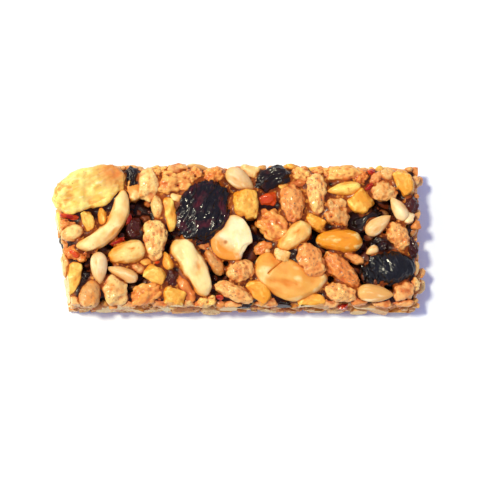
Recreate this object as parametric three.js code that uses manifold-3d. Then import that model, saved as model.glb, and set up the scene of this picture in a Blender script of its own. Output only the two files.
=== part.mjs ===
// A granola bar: a slab of small seeds, grain crisps and dried fruit bound with syrup, pressed flat
// underneath and cut off square at the sides, with the larger nuts, seeds, crisps and fruits bedded in its top.
// Millimetres. +X runs along the bar, +Y across it and +Z up. The origin is the middle of the underside.

import * as THREE from "three";
import { mergeVertices } from "three/addons/utils/BufferGeometryUtils.js";
import Module from "manifold-3d";

// Driving dimensions.
const LENGTH = 105;
const WIDTH = 40;
const SLAB_TOP = 12.2; // mean height of the bound mix between the large pieces
const LUMP_HEIGHT = 1.2; // how far the small things in the mix rise and dip at the top
const SIDE_LUMP_HEIGHT = 1.5; // how far they stand in and out of the cut sides
const LUMP_WIDTH = 8; // how far apart the lumps are
const LEFT_END_SKEW = 3.6; // the left end was cut this much out of square
const RIGHT_END_SKEW = 0.8;
const PIECE_GAP = 0.35; // clearance between a piece and whatever it is bedded in

// How finely things are faceted: a piece takes the first row whose length it reaches.
const SLAB_CELLS = [24, 9, 3];
const FACETS = [
  { from: 13, round: 11, along: 6 },
  { from: 8.4, round: 8, along: 5 },
  { from: 0, round: 7, along: 5 },
];
const FLATNESS = 0.2; // facets this near to level with their neighbours are joined

const degrees = THREE.MathUtils.degToRad;

// ---------------------------------------------------------------------------
// Uneven surfaces

// A smooth wander between -1 and 1 over a plane, the same on every run, with the lumps a width apart.
function lumps(a, b, width, phase) {
  const k = (2 * Math.PI) / width;
  const broad = Math.sin(k * a + phase + Math.sin(0.31 * b)) * Math.sin(k * 0.83 * b + 1.7 * phase);
  const fine = Math.sin(k * 1.6 * a - k * 0.9 * b + 2.3 * phase);
  return 0.65 * broad + 0.35 * fine;
}

// A geometry whose faces share their corners, so that it stays closed however its corners are moved.
function joined(geometry) {
  geometry.deleteAttribute("normal");
  geometry.deleteAttribute("uv");
  return mergeVertices(geometry, 1e-4);
}

// Moves every vertex of a geometry with a function that changes the point it is given.
function reshape(geometry, move) {
  const positions = geometry.getAttribute("position");
  const point = new THREE.Vector3();
  for (let i = 0; i < positions.count; i++) {
    point.fromBufferAttribute(positions, i);
    move(point);
    positions.setXYZ(i, point.x, point.y, point.z);
  }
  return geometry;
}

// Centres a geometry and stretches it to a size; a side left out stays as it is.
function fit(geometry, [long, wide, thick]) {
  geometry.computeBoundingBox();
  const { min, max } = geometry.boundingBox;
  geometry.translate(-(min.x + max.x) / 2, -(min.y + max.y) / 2, thick ? -(min.z + max.z) / 2 : 0);
  return geometry.scale(long / (max.x - min.x), wide / (max.y - min.y), thick ? thick / (max.z - min.z) : 1);
}

// ---------------------------------------------------------------------------
// The slab

// A box of cells whose underside stays flat, whose top is lumpy, and whose sides are lumpy and lean as cut.
function slabGeometry() {
  const [along, across, up] = SLAB_CELLS;
  const box = joined(new THREE.BoxGeometry(LENGTH, WIDTH, SLAB_TOP, along, across, up));
  box.translate(0, 0, SLAB_TOP / 2);
  reshape(box, (p) => {
    const rise = p.z / SLAB_TOP;
    const end = p.x / (LENGTH / 2);
    const side = p.y / (WIDTH / 2);
    const skew = end < 0 ? LEFT_END_SKEW : RIGHT_END_SKEW;
    const lean = end * end * (0.5 - 0.5 * side) * skew;
    const endLumps = (1 + lumps(p.y, 1.4 * p.z, LUMP_WIDTH, 1.1)) * SIDE_LUMP_HEIGHT;
    const sideLumps = (1 + lumps(p.x, 1.4 * p.z, LUMP_WIDTH, 2.6)) * SIDE_LUMP_HEIGHT;
    p.z += rise * LUMP_HEIGHT * lumps(p.x, p.y, LUMP_WIDTH, 0.4);
    p.x -= Math.sign(end) * (lean + 0.5 * endLumps * Math.abs(end) ** 9);
    p.y -= Math.sign(side) * 0.5 * sideLumps * Math.abs(side) ** 9;
  });
  return fit(box, [LENGTH, WIDTH]);
}

// ---------------------------------------------------------------------------
// The forms of the ingredients. Each moves a point of a unit ball, whose poles are the ends of the long axis and
// whose +X pole is the tip, to the form's surface. The form is stretched to its piece's size afterwards.

const forms = {
  // A whole skinned peanut or a plump grain: an egg, narrower at its tip.
  egg(p) {
    taper(p, 0.2);
  },

  // A hulled sunflower seed: a flat drop that runs out to a point.
  drop(p) {
    taper(p, p.x > 0 ? 0.55 * Math.sqrt(p.x) : 0.1);
  },

  // A whole cashew kernel: a swelling curved round in its own plane, blunt at both ends.
  kidney(p) {
    blunt(p, 0.3);
    bend(p, 2.7, 0.52);
  },

  // Half a cashew, split lengthwise and seen on edge: a slender crescent.
  crescent(p) {
    blunt(p, 0.2);
    bend(p, 1.5, 0.2);
  },

  // A long cashew with only a slight curve.
  longKidney(p) {
    blunt(p, 0.25);
    taper(p, -0.14);
    bend(p, 0.7, 0.36);
  },

  // Half a round nut lying split side up, with the small hollow where its two halves met.
  half(p) {
    const hollow = 0.3 * Math.exp(-((p.x + 0.25) ** 2 + (p.y - 0.1) ** 2) / 0.1);
    p.z = p.z > 0 ? 0.5 * p.z - hollow : p.z;
  },

  // A slice of dried banana: a thick disc with a square rim that stands a little above its dished face.
  chip(p) {
    const out = Math.min(Math.hypot(p.x, p.y), 1);
    const dish = p.z > 0 ? 0.3 * (1 - out ** 3) : 0;
    p.z = Math.sign(p.z) * (1 - out ** 8) ** 0.25 - dish;
  },

  // A broken nut or a dice of fruit: a cube with its edges worn round.
  dice(p) {
    const power = 4;
    p.divideScalar((Math.abs(p.x) ** power + Math.abs(p.y) ** power + Math.abs(p.z) ** power) ** (1 / power));
  },

  // A puffed crisp or a clump of them: a ball with lumps, a different side up for each heading.
  crisp(p) {
    const lump = Math.sin(4.1 * p.x + 1) * Math.sin(3.6 * p.y + 2) + 0.5 * Math.sin(4.7 * p.z + 2 * p.x);
    p.multiplyScalar(1 + 0.13 * lump);
  },

  // A raisin, a cranberry or a blueberry: a dried skin drawn into folds along its length.
  shrivelled(p) {
    const round = Math.atan2(p.z, p.y);
    const folds = Math.sin(4 * round + 2 * p.x) * (1 - p.x * p.x);
    p.y *= 1 + 0.08 * folds;
    p.z *= 1 + 0.12 * folds;
    p.x *= 1 - 0.05 * Math.cos(3 * round);
  },
};

// Narrows a form towards its tip; a negative amount narrows it towards the other end.
function taper(p, amount) {
  p.y *= 1 - amount * p.x;
  p.z *= 1 - amount * p.x;
}

// Fills a form out towards both ends.
function blunt(p, amount) {
  const fuller = Math.max(1 - p.x * p.x, 1e-6) ** (-amount / 2);
  p.y *= fuller;
  p.z *= fuller;
}

// Bends a form through an angle in radians so that its +Y side is hollow. The share is its breadth for its length.
function bend(p, angle, share) {
  const radius = 2 / angle;
  const turned = p.x / radius;
  const out = radius - p.y * share;
  p.x = out * Math.sin(turned);
  p.y = radius - out * Math.cos(turned);
}

// ---------------------------------------------------------------------------
// The large pieces, the uppermost first: each beds into those after it and into the slab.
// size is length, width and thickness. turn is the heading of the tip, anticlockwise from +X seen from above.
// lean tips the piece over its long axis, and pitch lifts its tip.

const pieces = [
  { name: "banana_chip", form: "chip", at: [-42.3, 13, 13], size: [21.4, 12.6, 5], turn: 20, lean: 16 },
  { name: "cranberry_large", form: "shrivelled", at: [-10.4, 6.1, 12.9], size: [20.4, 16, 7.8], turn: 63 },
  { name: "crisp_on_cashew", form: "crisp", at: [20.2, -7.8, 14.6], size: [10.6, 7.6, 3.8], turn: 118, pitch: 4 },
  { name: "cashew_large", form: "kidney", at: [14.4, -12.5, 12.4], size: [21.4, 13.2, 5.4], turn: -8 },
  { name: "blueberry_right", form: "shrivelled", at: [42.8, -9.9, 12.6], size: [15.6, 10.2, 7.2], turn: 8 },
  { name: "cashew_long", form: "longKidney", at: [-13.4, -9.3, 12.9], size: [18.4, 7.6, 6.2], turn: 119 },
  { name: "peanut_orange", form: "egg", at: [28.6, -1.9, 13.2], size: [13.4, 6.9, 6.2], turn: 176 },
  { name: "split_nut", form: "half", at: [-2.1, -1.1, 12.8], size: [13.2, 11.8, 4.6], turn: 260, lean: 6 },
  { name: "peanut_middle", form: "egg", at: [15.6, -0.9, 13.4], size: [11.7, 6.6, 5.8], turn: 220 },
  { name: "cashew_crescent", form: "crescent", at: [-37.3, 2.5, 13.2], size: [21.6, 7.6, 4.8], turn: 50 },
  { name: "nut_cube", form: "dice", at: [1.8, 8.8, 13], size: [9.2, 7.4, 6], turn: 88, lean: 8 },
  { name: "seed_top", form: "drop", at: [0.7, 15.3, 13.8], size: [10.3, 5.5, 3.6], turn: -38, pitch: -8 },
  { name: "seed_right", form: "drop", at: [39.9, 2.7, 14.2], size: [8.8, 4.6, 3.4], turn: 36, pitch: 6 },
  { name: "seed_upper_right", form: "drop", at: [45.9, 7.4, 13.8], size: [8, 4.3, 3.4], turn: 122 },
  { name: "seed_left", form: "drop", at: [-40.2, -10, 13.7], size: [9.5, 4.9, 3.8], turn: -88, pitch: -6 },
  { name: "seed_lower_left", form: "drop", at: [-33.6, -11.3, 13.2], size: [9.4, 4, 3.2], turn: 158 },
  { name: "seed_low_right", form: "drop", at: [38.7, -17, 13.2], size: [10.8, 5.2, 3.6], turn: -5 },
  { name: "raisin_top", form: "shrivelled", at: [9.6, 16.2, 12.8], size: [12, 6.6, 6], turn: 26 },
  { name: "crisp_middle", form: "crisp", at: [15.5, 8.8, 13.3], size: [11.2, 8, 5.2], turn: 85 },
  { name: "crisp_tall", form: "crisp", at: [22.5, 11.7, 13], size: [12.2, 6.4, 5], turn: 94 },
  { name: "crisp_left", form: "egg", at: [-24.1, -1.9, 13.2], size: [12.2, 7.6, 5.2], turn: -95 },
  { name: "crisp_round", form: "crisp", at: [0.1, -10.6, 13], size: [8.6, 7.1, 4.8], turn: 10 },
  { name: "crisp_low", form: "crisp", at: [-1.9, -16.6, 13], size: [12, 4.9, 4.2], turn: -24 },
  { name: "crisp_long", form: "crisp", at: [29, -10.3, 13.2], size: [13.4, 6.3, 5], turn: -41 },
  { name: "crisp_square", form: "dice", at: [28.7, -16.7, 12.8], size: [9.8, 6.2, 5], turn: -15, lean: -8 },
  { name: "crisp_right", form: "crisp", at: [45.6, -0.4, 13.2], size: [9, 6.4, 4.8], turn: -65 },
  { name: "cluster_middle", form: "crisp", at: [9.9, 2.6, 12.6], size: [11.4, 8.6, 5.4], turn: -45 },
  { name: "cluster_upper_left", form: "crisp", at: [-18.4, 15.1, 13], size: [11.4, 8, 5], turn: 8 },
  { name: "cluster_top", form: "crisp", at: [-7.2, 16.8, 12.4], size: [7.4, 5.4, 4.8], turn: 20 },
  { name: "cluster_upper_right", form: "crisp", at: [30.4, 17.7, 12.4], size: [11.6, 5.2, 4.4], turn: 4 },
  { name: "cluster_lower_left", form: "crisp", at: [-26.6, -16.9, 12.4], size: [10.2, 6.4, 4.8], turn: 18 },
  { name: "peanut_left", form: "egg", at: [-32.1, -5.4, 13], size: [11.2, 6.7, 5.8], turn: 194 },
  { name: "puff_lower_left", form: "crisp", at: [-35.8, -16.1, 12.8], size: [9.1, 7.9, 4.8], turn: 105 },
  { name: "puff_corner", form: "egg", at: [-42.7, -17.2, 12.8], size: [8.2, 6.1, 5], turn: 72 },
  { name: "puff_grey", form: "crisp", at: [28.1, 6.4, 13], size: [9.2, 7.9, 5.4], turn: 98 },
  { name: "puff_upper_left", form: "crisp", at: [-25.9, 14.5, 12.9], size: [9.2, 6, 5], turn: 82 },
  { name: "puff_column", form: "crisp", at: [-23.3, 8, 12.6], size: [8, 3.8, 4.4], turn: 96 },
  { name: "kernel_right", form: "drop", at: [30.3, 13.1, 13.6], size: [10, 4.1, 3.4], turn: 188 },
  { name: "kernel_crescent", form: "crescent", at: [-19.7, 5.9, 12.8], size: [10.2, 3.9, 4], turn: 98 },
  { name: "kernel_wedge", form: "dice", at: [-24.1, -11.6, 12.8], size: [6.8, 4.9, 4.4], turn: -28, lean: 18 },
  { name: "dice_right", form: "dice", at: [34.8, 9.3, 12.8], size: [7.2, 6.6, 5.2], turn: 42, lean: 6 },
  { name: "dice_low", form: "dice", at: [-19.1, -18, 12.8], size: [6.8, 5.1, 4.6], turn: -10 },
  { name: "flake_right", form: "crisp", at: [42.1, 12.6, 13], size: [8, 6.2, 3.8], turn: -8 },
  { name: "wedge_corner", form: "dice", at: [47.8, 15, 12.8], size: [8.2, 5.4, 5], turn: -64 },
  { name: "raisin_right", form: "shrivelled", at: [36.6, 4.4, 11.2], size: [11.4, 6.6, 4.6], turn: 28 },
  { name: "raisin_upper_left", form: "shrivelled", at: [-30.5, 16.3, 11.8], size: [7.4, 5.2, 4.8], turn: 84 },
];

// Each ingredient's colour and roughness, by the first word of its piece's name.
const finishes = {
  slab: { color: 0x9a5a24, roughness: 0.45 },
  banana: { color: 0xf0c860, roughness: 0.6 },
  cashew: { color: 0xf2c878, roughness: 0.5 },
  peanut: { color: 0xeda544, roughness: 0.45 },
  split: { color: 0xf6dca0, roughness: 0.55 },
  nut: { color: 0xeeb04c, roughness: 0.5 },
  wedge: { color: 0xf0b048, roughness: 0.5 },
  dice: { color: 0xf0b048, roughness: 0.5 },
  seed: { color: 0xe8cd9c, roughness: 0.5 },
  kernel: { color: 0xf2cf74, roughness: 0.5 },
  crisp: { color: 0xdc9450, roughness: 0.7 },
  puff: { color: 0xdfb27a, roughness: 0.7 },
  flake: { color: 0xd99a58, roughness: 0.65 },
  cluster: { color: 0xe09040, roughness: 0.6 },
  cranberry: { color: 0x2a0c16, roughness: 0.25 },
  raisin: { color: 0x1c1014, roughness: 0.3 },
  blueberry: { color: 0x14161c, roughness: 0.3 },
};

// ---------------------------------------------------------------------------
// Building and bedding

// One ingredient's mesh in its place, with its own colour. The cuts change its geometry afterwards.
function pieceMesh({ name, form, at, size, turn, lean = 0, pitch = 0 }) {
  const mesh = new THREE.Mesh(formGeometry(form, size), finishOf(name));
  mesh.name = name;
  mesh.position.set(...at);
  mesh.rotation.set(degrees(lean), degrees(-pitch), degrees(turn), "ZYX");
  mesh.updateMatrix();
  return mesh;
}

// One ingredient's form at its size, round its own origin. The allowance makes it that much bigger all round.
function formGeometry(form, size, allowance = 0) {
  const { round, along } = FACETS.find((row) => size[0] >= row.from);
  const ball = joined(new THREE.SphereGeometry(1, round, along)).rotateZ(-Math.PI / 2);
  const grown = size.map((side) => side + 2 * allowance);
  return fit(reshape(ball, forms[form]), grown);
}

function finishOf(name) {
  return new THREE.MeshStandardMaterial({ ...finishes[name.split("_")[0]], metalness: 0 });
}

const wasm = await Module();
wasm.setup();

// A closed three.js geometry as a manifold-3d solid.
function solidOf(geometry) {
  const vertProperties = new Float32Array(geometry.getAttribute("position").array);
  const triVerts = new Uint32Array(geometry.index.array);
  return new wasm.Manifold(new wasm.Mesh({ numProp: 3, vertProperties, triVerts }));
}

// A manifold-3d solid as a three.js geometry.
function geometryOf(solid) {
  const { vertProperties, triVerts } = solid.getMesh();
  const geometry = new THREE.BufferGeometry();
  geometry.setAttribute("position", new THREE.BufferAttribute(new Float32Array(vertProperties), 3));
  geometry.setIndex(new THREE.BufferAttribute(new Uint32Array(triVerts), 1));
  geometry.computeVertexNormals();
  return geometry;
}

// The largest body of a solid, with its nearly level facets joined: a cut can nick off a sliver.
function mainBody(solid) {
  const bodies = solid.decompose();
  return bodies.reduce((a, b) => (b.volume() > a.volume() ? b : a)).simplify(FLATNESS);
}

// The knives that cut the bar square also cut any piece that lay across the edge.
const CUT_HEIGHT = 60;
const knives = solidOf(joined(new THREE.BoxGeometry(LENGTH, WIDTH, CUT_HEIGHT)));

const bar = new THREE.Group();
const sockets = [];
for (const piece of pieces) {
  const mesh = pieceMesh(piece);
  const placed = solidOf(mesh.geometry.clone().applyMatrix4(mesh.matrix)).intersect(knives);
  const bedded = sockets.reduce((left, socket) => left.subtract(socket), placed);
  mesh.geometry = geometryOf(mainBody(bedded)).applyMatrix4(mesh.matrix.clone().invert());
  bar.add(mesh);
  const pocket = formGeometry(piece.form, piece.size, PIECE_GAP);
  sockets.push(solidOf(pocket.applyMatrix4(mesh.matrix)));
}

const bed = wasm.Manifold.union(sockets).simplify(FLATNESS);
const slabSolid = mainBody(solidOf(slabGeometry()).subtract(bed));
const slab = new THREE.Mesh(fit(geometryOf(slabSolid), [LENGTH, WIDTH]), finishOf("slab"));
slab.name = "slab";
bar.add(slab);

export default bar;
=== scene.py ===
# %% [markdown]
# # A granola bar
# A granola bar is a heap that was never stirred again: nuts, sunflower seeds, grain crisps and dried fruit
# are tumbled in hot syrup, pressed flat in a tray and cut into bars. So the bar is made here the way it is
# made in the kitchen. First each ingredient is modelled once, at its real size. Then the large pieces are
# laid on top where the CAD frame says, the rest of the heap is packed round and under them, the knife cuts
# the sides, and last of all the syrup is poured: one surface that creeps between the pieces and leaves them
# showing.

import math
from contextlib import contextmanager

import bpy
import numpy as np
from mathutils import Matrix, Vector
from mathutils.bvhtree import BVHTree


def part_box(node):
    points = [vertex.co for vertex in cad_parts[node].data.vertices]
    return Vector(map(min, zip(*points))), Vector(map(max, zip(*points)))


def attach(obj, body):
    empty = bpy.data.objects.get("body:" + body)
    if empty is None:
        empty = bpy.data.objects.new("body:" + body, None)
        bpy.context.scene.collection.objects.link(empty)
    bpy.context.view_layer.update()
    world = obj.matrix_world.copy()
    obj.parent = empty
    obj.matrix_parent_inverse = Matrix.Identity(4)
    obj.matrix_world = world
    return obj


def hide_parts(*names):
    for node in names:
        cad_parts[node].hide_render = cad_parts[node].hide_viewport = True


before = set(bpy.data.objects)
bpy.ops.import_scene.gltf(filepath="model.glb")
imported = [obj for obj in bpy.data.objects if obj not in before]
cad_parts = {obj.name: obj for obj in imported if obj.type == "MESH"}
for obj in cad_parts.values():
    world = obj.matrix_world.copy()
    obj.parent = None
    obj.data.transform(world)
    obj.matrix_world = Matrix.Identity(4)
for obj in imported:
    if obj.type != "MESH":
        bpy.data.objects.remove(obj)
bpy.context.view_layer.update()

# %% [markdown]
# ## Small tools
# Everything is in metres because the frame is, but food is thought of in millimetres, so most numbers below
# are written as so many MM. Blender's operators act on whatever is selected, and the frame arrives
# selected. Each helper therefore leaves exactly one piece selected and active, so that the next operator
# can't touch another.

# %% Helpers for selecting and editing
MM = 0.001


def only(piece):
    """Leaves this piece as the one that is selected and active."""
    bpy.ops.object.select_all(action="DESELECT")
    piece.select_set(True)
    bpy.context.view_layer.objects.active = piece


@contextmanager
def edit_mode(piece):
    """Opens a piece in edit mode with everything in it selected."""
    only(piece)
    bpy.ops.object.mode_set(mode="EDIT")
    bpy.ops.mesh.select_all(action="SELECT")
    yield
    bpy.ops.object.mode_set(mode="OBJECT")


def read(piece, what="co"):
    """The places, or the normals, of a mesh's vertices, one row each."""
    rows = np.empty(3 * len(piece.data.vertices), np.float32)
    piece.data.vertices.foreach_get(what, rows)
    return rows.reshape(-1, 3).astype(float)


def place(piece, rows):
    """Gives the vertices of a mesh new places."""
    piece.data.vertices.foreach_set("co", np.asarray(rows, np.float32).ravel())
    piece.data.update()


def pick(chosen):
    """In edit mode, leaves only the vertices selected that a rule on x, y, z arrays chooses."""
    bpy.ops.mesh.select_all(action="DESELECT")
    bpy.ops.object.mode_set(mode="OBJECT")
    piece = bpy.context.object
    piece.data.vertices.foreach_set("select", np.asarray(chosen(*read(piece).T), bool))
    bpy.ops.object.mode_set(mode="EDIT")


def note(piece, name, values):
    """Writes a number or a vector for each vertex under a name that a material can read."""
    values = np.asarray(values, np.float32)
    kind, field = ("FLOAT_VECTOR", "vector") if values.ndim == 2 else ("FLOAT", "value")
    layer = piece.data.attributes.get(name) or piece.data.attributes.new(name, kind, "POINT")
    layer.data.foreach_set(field, values.ravel())


def noted(piece, name):
    """Reads back the numbers of note, or noughts where nothing has been noted."""
    values = np.zeros(len(piece.data.vertices), np.float32)
    if name in piece.data.attributes:
        piece.data.attributes[name].data.foreach_get("value", values)
    return values


def drag(move, reach=0, falloff="SMOOTH"):
    """In edit mode, moves what is selected by millimetres; what is within reach follows, less and less."""
    follow = dict(use_proportional_edit=True, proportional_edit_falloff=falloff, proportional_size=reach * MM)
    bpy.ops.transform.translate(value=[part * MM for part in move], **(follow if reach else {}))


def mark(piece, crest):
    """Notes one crest on the vertices that were left selected, and returns their number."""
    chosen = np.zeros(len(piece.data.vertices), bool)
    piece.data.vertices.foreach_get("select", chosen)
    note(piece, "crest", np.where(chosen, crest, noted(piece, "crest")))
    return chosen.sum()


# %% Helpers for modifiers
def finish_with(piece, kind, **settings):
    """Adds a modifier with its settings and applies it."""
    only(piece)
    modifier = piece.modifiers.new(kind.title(), kind)
    for name, value in settings.items():
        setattr(modifier, name, value)
    bpy.ops.object.modifier_apply(modifier=modifier.name)


def deform(piece, method, axis, amount):
    """Bends through an angle, or tapers by a factor, along an axis."""
    name = "angle" if method == "BEND" else "factor"
    finish_with(piece, "SIMPLE_DEFORM", deform_method=method, deform_axis=axis, **{name: amount})


def relief(piece, kind, width, depth, drawn_out=(1, 1, 1), other=0, **settings):
    """Raises and sinks a surface by a pattern with features of a width, and notes its crests and dips.

    An empty as large as a feature carries the pattern; moving it by `other` gives another stretch of it.
    """
    pattern = bpy.data.textures.new(f"{piece.name}_relief", kind)
    pattern.noise_scale = 1
    for name, value in settings.items():
        setattr(pattern, name, value)
    guide = bpy.data.objects.new("guide", None)
    bpy.context.scene.collection.objects.link(guide)
    guide.scale = width * Vector(drawn_out)
    guide.location = Vector((7, 11, 13)) * width * other
    bpy.context.view_layer.update()
    before, normals = read(piece), read(piece, "normal")
    finish_with(piece, "DISPLACE", texture=pattern, strength=depth, texture_coords="OBJECT",
                texture_coords_object=guide)
    rise = ((read(piece) - before) * normals).sum(1) / depth
    note(piece, "crest", noted(piece, "crest") + rise)
    bpy.data.objects.remove(guide)
    bpy.data.textures.remove(pattern)


# %% [markdown]
# ## The pantry
# Each ingredient is modelled once and kept in the pantry, lying along X with its tip at +X. Almost all of
# them began as something round, so most start as a ball of even triangles. A ball made of rings has poles,
# and a surface pattern pinches there; an icosphere has none. The ball is stretched in edit mode, and
# modifiers then do what growing, drying and roasting did: taper, bend, shrink and wrinkle.

# %% Starting and storing an ingredient
pantry = {}


def ball(name, size, detail):
    """An icosphere stretched to a size in millimetres."""
    bpy.ops.mesh.primitive_ico_sphere_add(subdivisions=detail, radius=0.5 * MM)
    piece = bpy.context.object
    piece.name = name
    with edit_mode(piece):
        bpy.ops.transform.resize(value=size)
    return piece


def store(piece, size):
    """Centres a finished ingredient, brings it to its exact size in millimetres and puts it in the pantry."""
    rows = read(piece)
    bottom, top = rows.min(0), rows.max(0)
    place(piece, (rows - (bottom + top) / 2) / (top - bottom) * np.array(size) * MM)
    only(piece)
    bpy.ops.object.shade_smooth()
    crest = noted(piece, "crest")
    note(piece, "crest", np.clip((crest - crest.mean()) / (crest.std() + 1e-6), -3, 3))
    piece["size_mm"] = size
    pantry[piece.name] = piece
    print(f"{piece.name}: {len(piece.data.polygons)} faces, {size[0]} x {size[1]} x {size[2]} mm")


# %% [markdown]
# ### Cashews
# A cashew is a swelling that grew curled round its stalk: thick and blunt at both ends, flat on its two
# cheeks, with a hollow inner side. Cast pushes the ball towards a box, which blunts its ends, and Simple
# Deform's bend curls it. The same few steps with less curl give the long cashew, and with less breadth the
# slender half kernel that lies on its edge. A soft, wide relief keeps them from looking turned on a lathe.
# The large one has a shallow crease along its cheek, made by moving a line of vertices down and letting
# their neighbours follow, and it has dried until it cracked: bisect draws a line of vertices across it, and
# those of them that lie on the crack are pushed in.

# %% Model the cashews
def model_cashew(name, size, breadth, curl, thicker_end):
    """A kernel that is `breadth` wide for a length of 10 before it is curled."""
    kernel = ball(name, (10, breadth, 3), detail=5)
    finish_with(kernel, "CAST", cast_type="CUBOID", factor=0.28)
    deform(kernel, "TAPER", "X", thicker_end)
    deform(kernel, "BEND", "Z", math.radians(curl))
    relief(kernel, "CLOUDS", 3.5 * MM, 0.8 * MM, other=curl)
    relief(kernel, "CLOUDS", 1.2 * MM, 0.12 * MM, drawn_out=(2, 1, 1))
    store(kernel, size)
    return kernel


whole_cashew = model_cashew("whole_cashew", (21.4, 13.2, 5.6), breadth=4.9, curl=150, thicker_end=-0.1)
model_cashew("long_cashew", (18.4, 7.4, 6.2), breadth=3.6, curl=42, thicker_end=0.2)
model_cashew("half_cashew", (21.6, 7.6, 4.8), breadth=1.9, curl=88, thicker_end=-0.12)

# %% Crease and crack the large cashew
GROOVE = 0.35
CREASED, CRACKED = -2.5, -5
crease_side, crease_half_width, crease_ends = -1.7 * MM, 0.3 * MM, (-6.4 * MM, 2.3 * MM)
with edit_mode(whole_cashew):
    pick(lambda x, y, z: (z > 0) & (abs(y - crease_side) < crease_half_width)
         & (x > crease_ends[0]) & (x < crease_ends[1]))
    drag((0, 0, -GROOVE), reach=1.5)
mark(whole_cashew, CREASED)

crack = np.array([(-2.7, 4.6), (-6.9, 0)]) * MM
overshoot, line_width = 1 * MM, 0.02 * MM
run = (crack[1] - crack[0]) / np.hypot(*(crack[1] - crack[0]))
across = Vector((-run[1], run[0], 0))
with edit_mode(whole_cashew):
    bpy.ops.mesh.bisect(plane_co=(*crack[0], 0), plane_no=across)
    pick(lambda x, y, z: (z > 0)
         & (abs((x - crack[0, 0]) * across.x + (y - crack[0, 1]) * across.y) < line_width)
         & ((x - crack[0, 0]) * run[0] + (y - crack[0, 1]) * run[1] > -overshoot)
         & ((x - crack[1, 0]) * run[0] + (y - crack[1, 1]) * run[1] < 0))
    drag((0, 0, -GROOVE))
print(mark(whole_cashew, CRACKED), "vertices along the crack")

# %% [markdown]
# ### Peanuts
# A roast peanut without its skin is an egg, a little narrower at the end with the germ. It is smooth, with
# shallow dents where the skin's veins lay.

# %% Model the peanut
peanut_size = (12.4, 6.8, 6.2)
peanut = ball("peanut", peanut_size, detail=5)
finish_with(peanut, "CAST", cast_type="CUBOID", factor=0.1)
deform(peanut, "TAPER", "X", -0.34)
relief(peanut, "CLOUDS", 3.4 * MM, 0.8 * MM)
relief(peanut, "CLOUDS", 1.1 * MM, 0.1 * MM, drawn_out=(1.8, 1, 1), other=1)
store(peanut, peanut_size)

# %% [markdown]
# ### The split nut
# One round nut lies with its split face up. Its upper half is pressed nearly flat, which leaves the soft
# rim that a real one has. Proportional editing then does the rest, where some vertices move and their
# neighbours follow less and less: it sinks the hollow where the two halves met, and dents the rim where a
# chip has broken off.

# %% Model the split nut
dent, broken_rim = np.array([(2.4, -0.7), (3.6, 6)]) * MM
half_nut = ball("half_nut", (13.2, 11.8, 9), detail=5)
with edit_mode(half_nut):
    pick(lambda x, y, z: z > 0)
    bpy.ops.transform.resize(value=(1, 1, 0.3), center_override=(0, 0, 0))
deform(half_nut, "TAPER", "X", 0.45)
with edit_mode(half_nut):
    pick(lambda x, y, z: (z > 0) & (np.hypot(x - dent[0], y - dent[1]) < 1.2 * MM))
    drag((0, 0, -0.7), reach=2.4)
    pick(lambda x, y, z: np.hypot(x - broken_rim[0], y - broken_rim[1]) < 1.3 * MM)
    drag((-0.7, -1.2, 0), reach=2.4)
relief(half_nut, "CLOUDS", 4.5 * MM, 0.5 * MM, other=3)
relief(half_nut, "CLOUDS", 1.4 * MM, 0.08 * MM)
store(half_nut, (13.2, 11.8, 5.2))

# %% [markdown]
# ### Sunflower seeds
# A hulled sunflower seed is a flat drop, round at the base and drawn out to a point. The point is pulled
# out of the ball by proportional editing with a sharp falloff. Two seeds are modelled, one plump and one a
# little shrunk, because a heap with only one form looks stamped out.

# %% Model the sunflower seeds
def model_seed(name, size, other, shrink):
    """A seed whose sides have dried in by `shrink` millimetres."""
    seed = ball(name, (size[0] * 0.86, size[1], size[2]), detail=4)
    with edit_mode(seed):
        tip = read(seed)[:, 0].max()
        pick(lambda x, y, z: x > tip - 1e-6)
        drag((0.32 * size[0], 0, 0), reach=0.75 * size[0], falloff="SHARP")
    deform(seed, "TAPER", "X", -0.3)
    relief(seed, "CLOUDS", 2.2 * MM, shrink * MM, drawn_out=(2.5, 1, 1), other=other)
    relief(seed, "CLOUDS", 0.9 * MM, 0.12 * MM, drawn_out=(5, 1, 1), other=other)
    store(seed, size)


model_seed("seed_plump", (9.4, 4.8, 3.6), other=1, shrink=0.3)
model_seed("seed_slim", (9.2, 4.3, 3), other=2, shrink=0.6)

# %% [markdown]
# ### Broken nuts
# Chopped nuts break along flat planes and their edges crumble round. So these start as a cube, lose corners
# to a knife (bisect, which also fills the cut), have every edge bevelled, and are then smoothed by
# subdivision.

# %% Model the broken nuts
STRUCK_OFF, ROUNDED = 0.33, 0.17


def model_broken_nut(name, size, cuts, levels):
    """A block with one corner struck off for each cut, which is the direction it was struck from."""
    bpy.ops.mesh.primitive_cube_add(size=1 * MM)
    piece = bpy.context.object
    piece.name = name
    with edit_mode(piece):
        bpy.ops.transform.resize(value=size)
        for cut in cuts:
            bpy.ops.mesh.select_all(action="SELECT")
            away = Vector(cut).normalized()
            reach = STRUCK_OFF * MM * sum(abs(part) * side for part, side in zip(away, size))
            bpy.ops.mesh.bisect(plane_co=away * reach, plane_no=away, use_fill=True, clear_outer=True)
        bpy.ops.mesh.select_all(action="SELECT")
        bpy.ops.mesh.bevel(offset=ROUNDED * min(size) * MM, segments=2, affect="EDGES")
        bpy.ops.mesh.select_all(action="SELECT")
        bpy.ops.mesh.quads_convert_to_tris()
    finish_with(piece, "SUBSURF", levels=levels, render_levels=levels)
    relief(piece, "CLOUDS", 3 * MM, 0.26 * min(size) * MM, other=len(cuts))
    relief(piece, "CLOUDS", 1 * MM, 0.2 * MM, other=len(cuts))
    store(piece, size)


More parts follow.
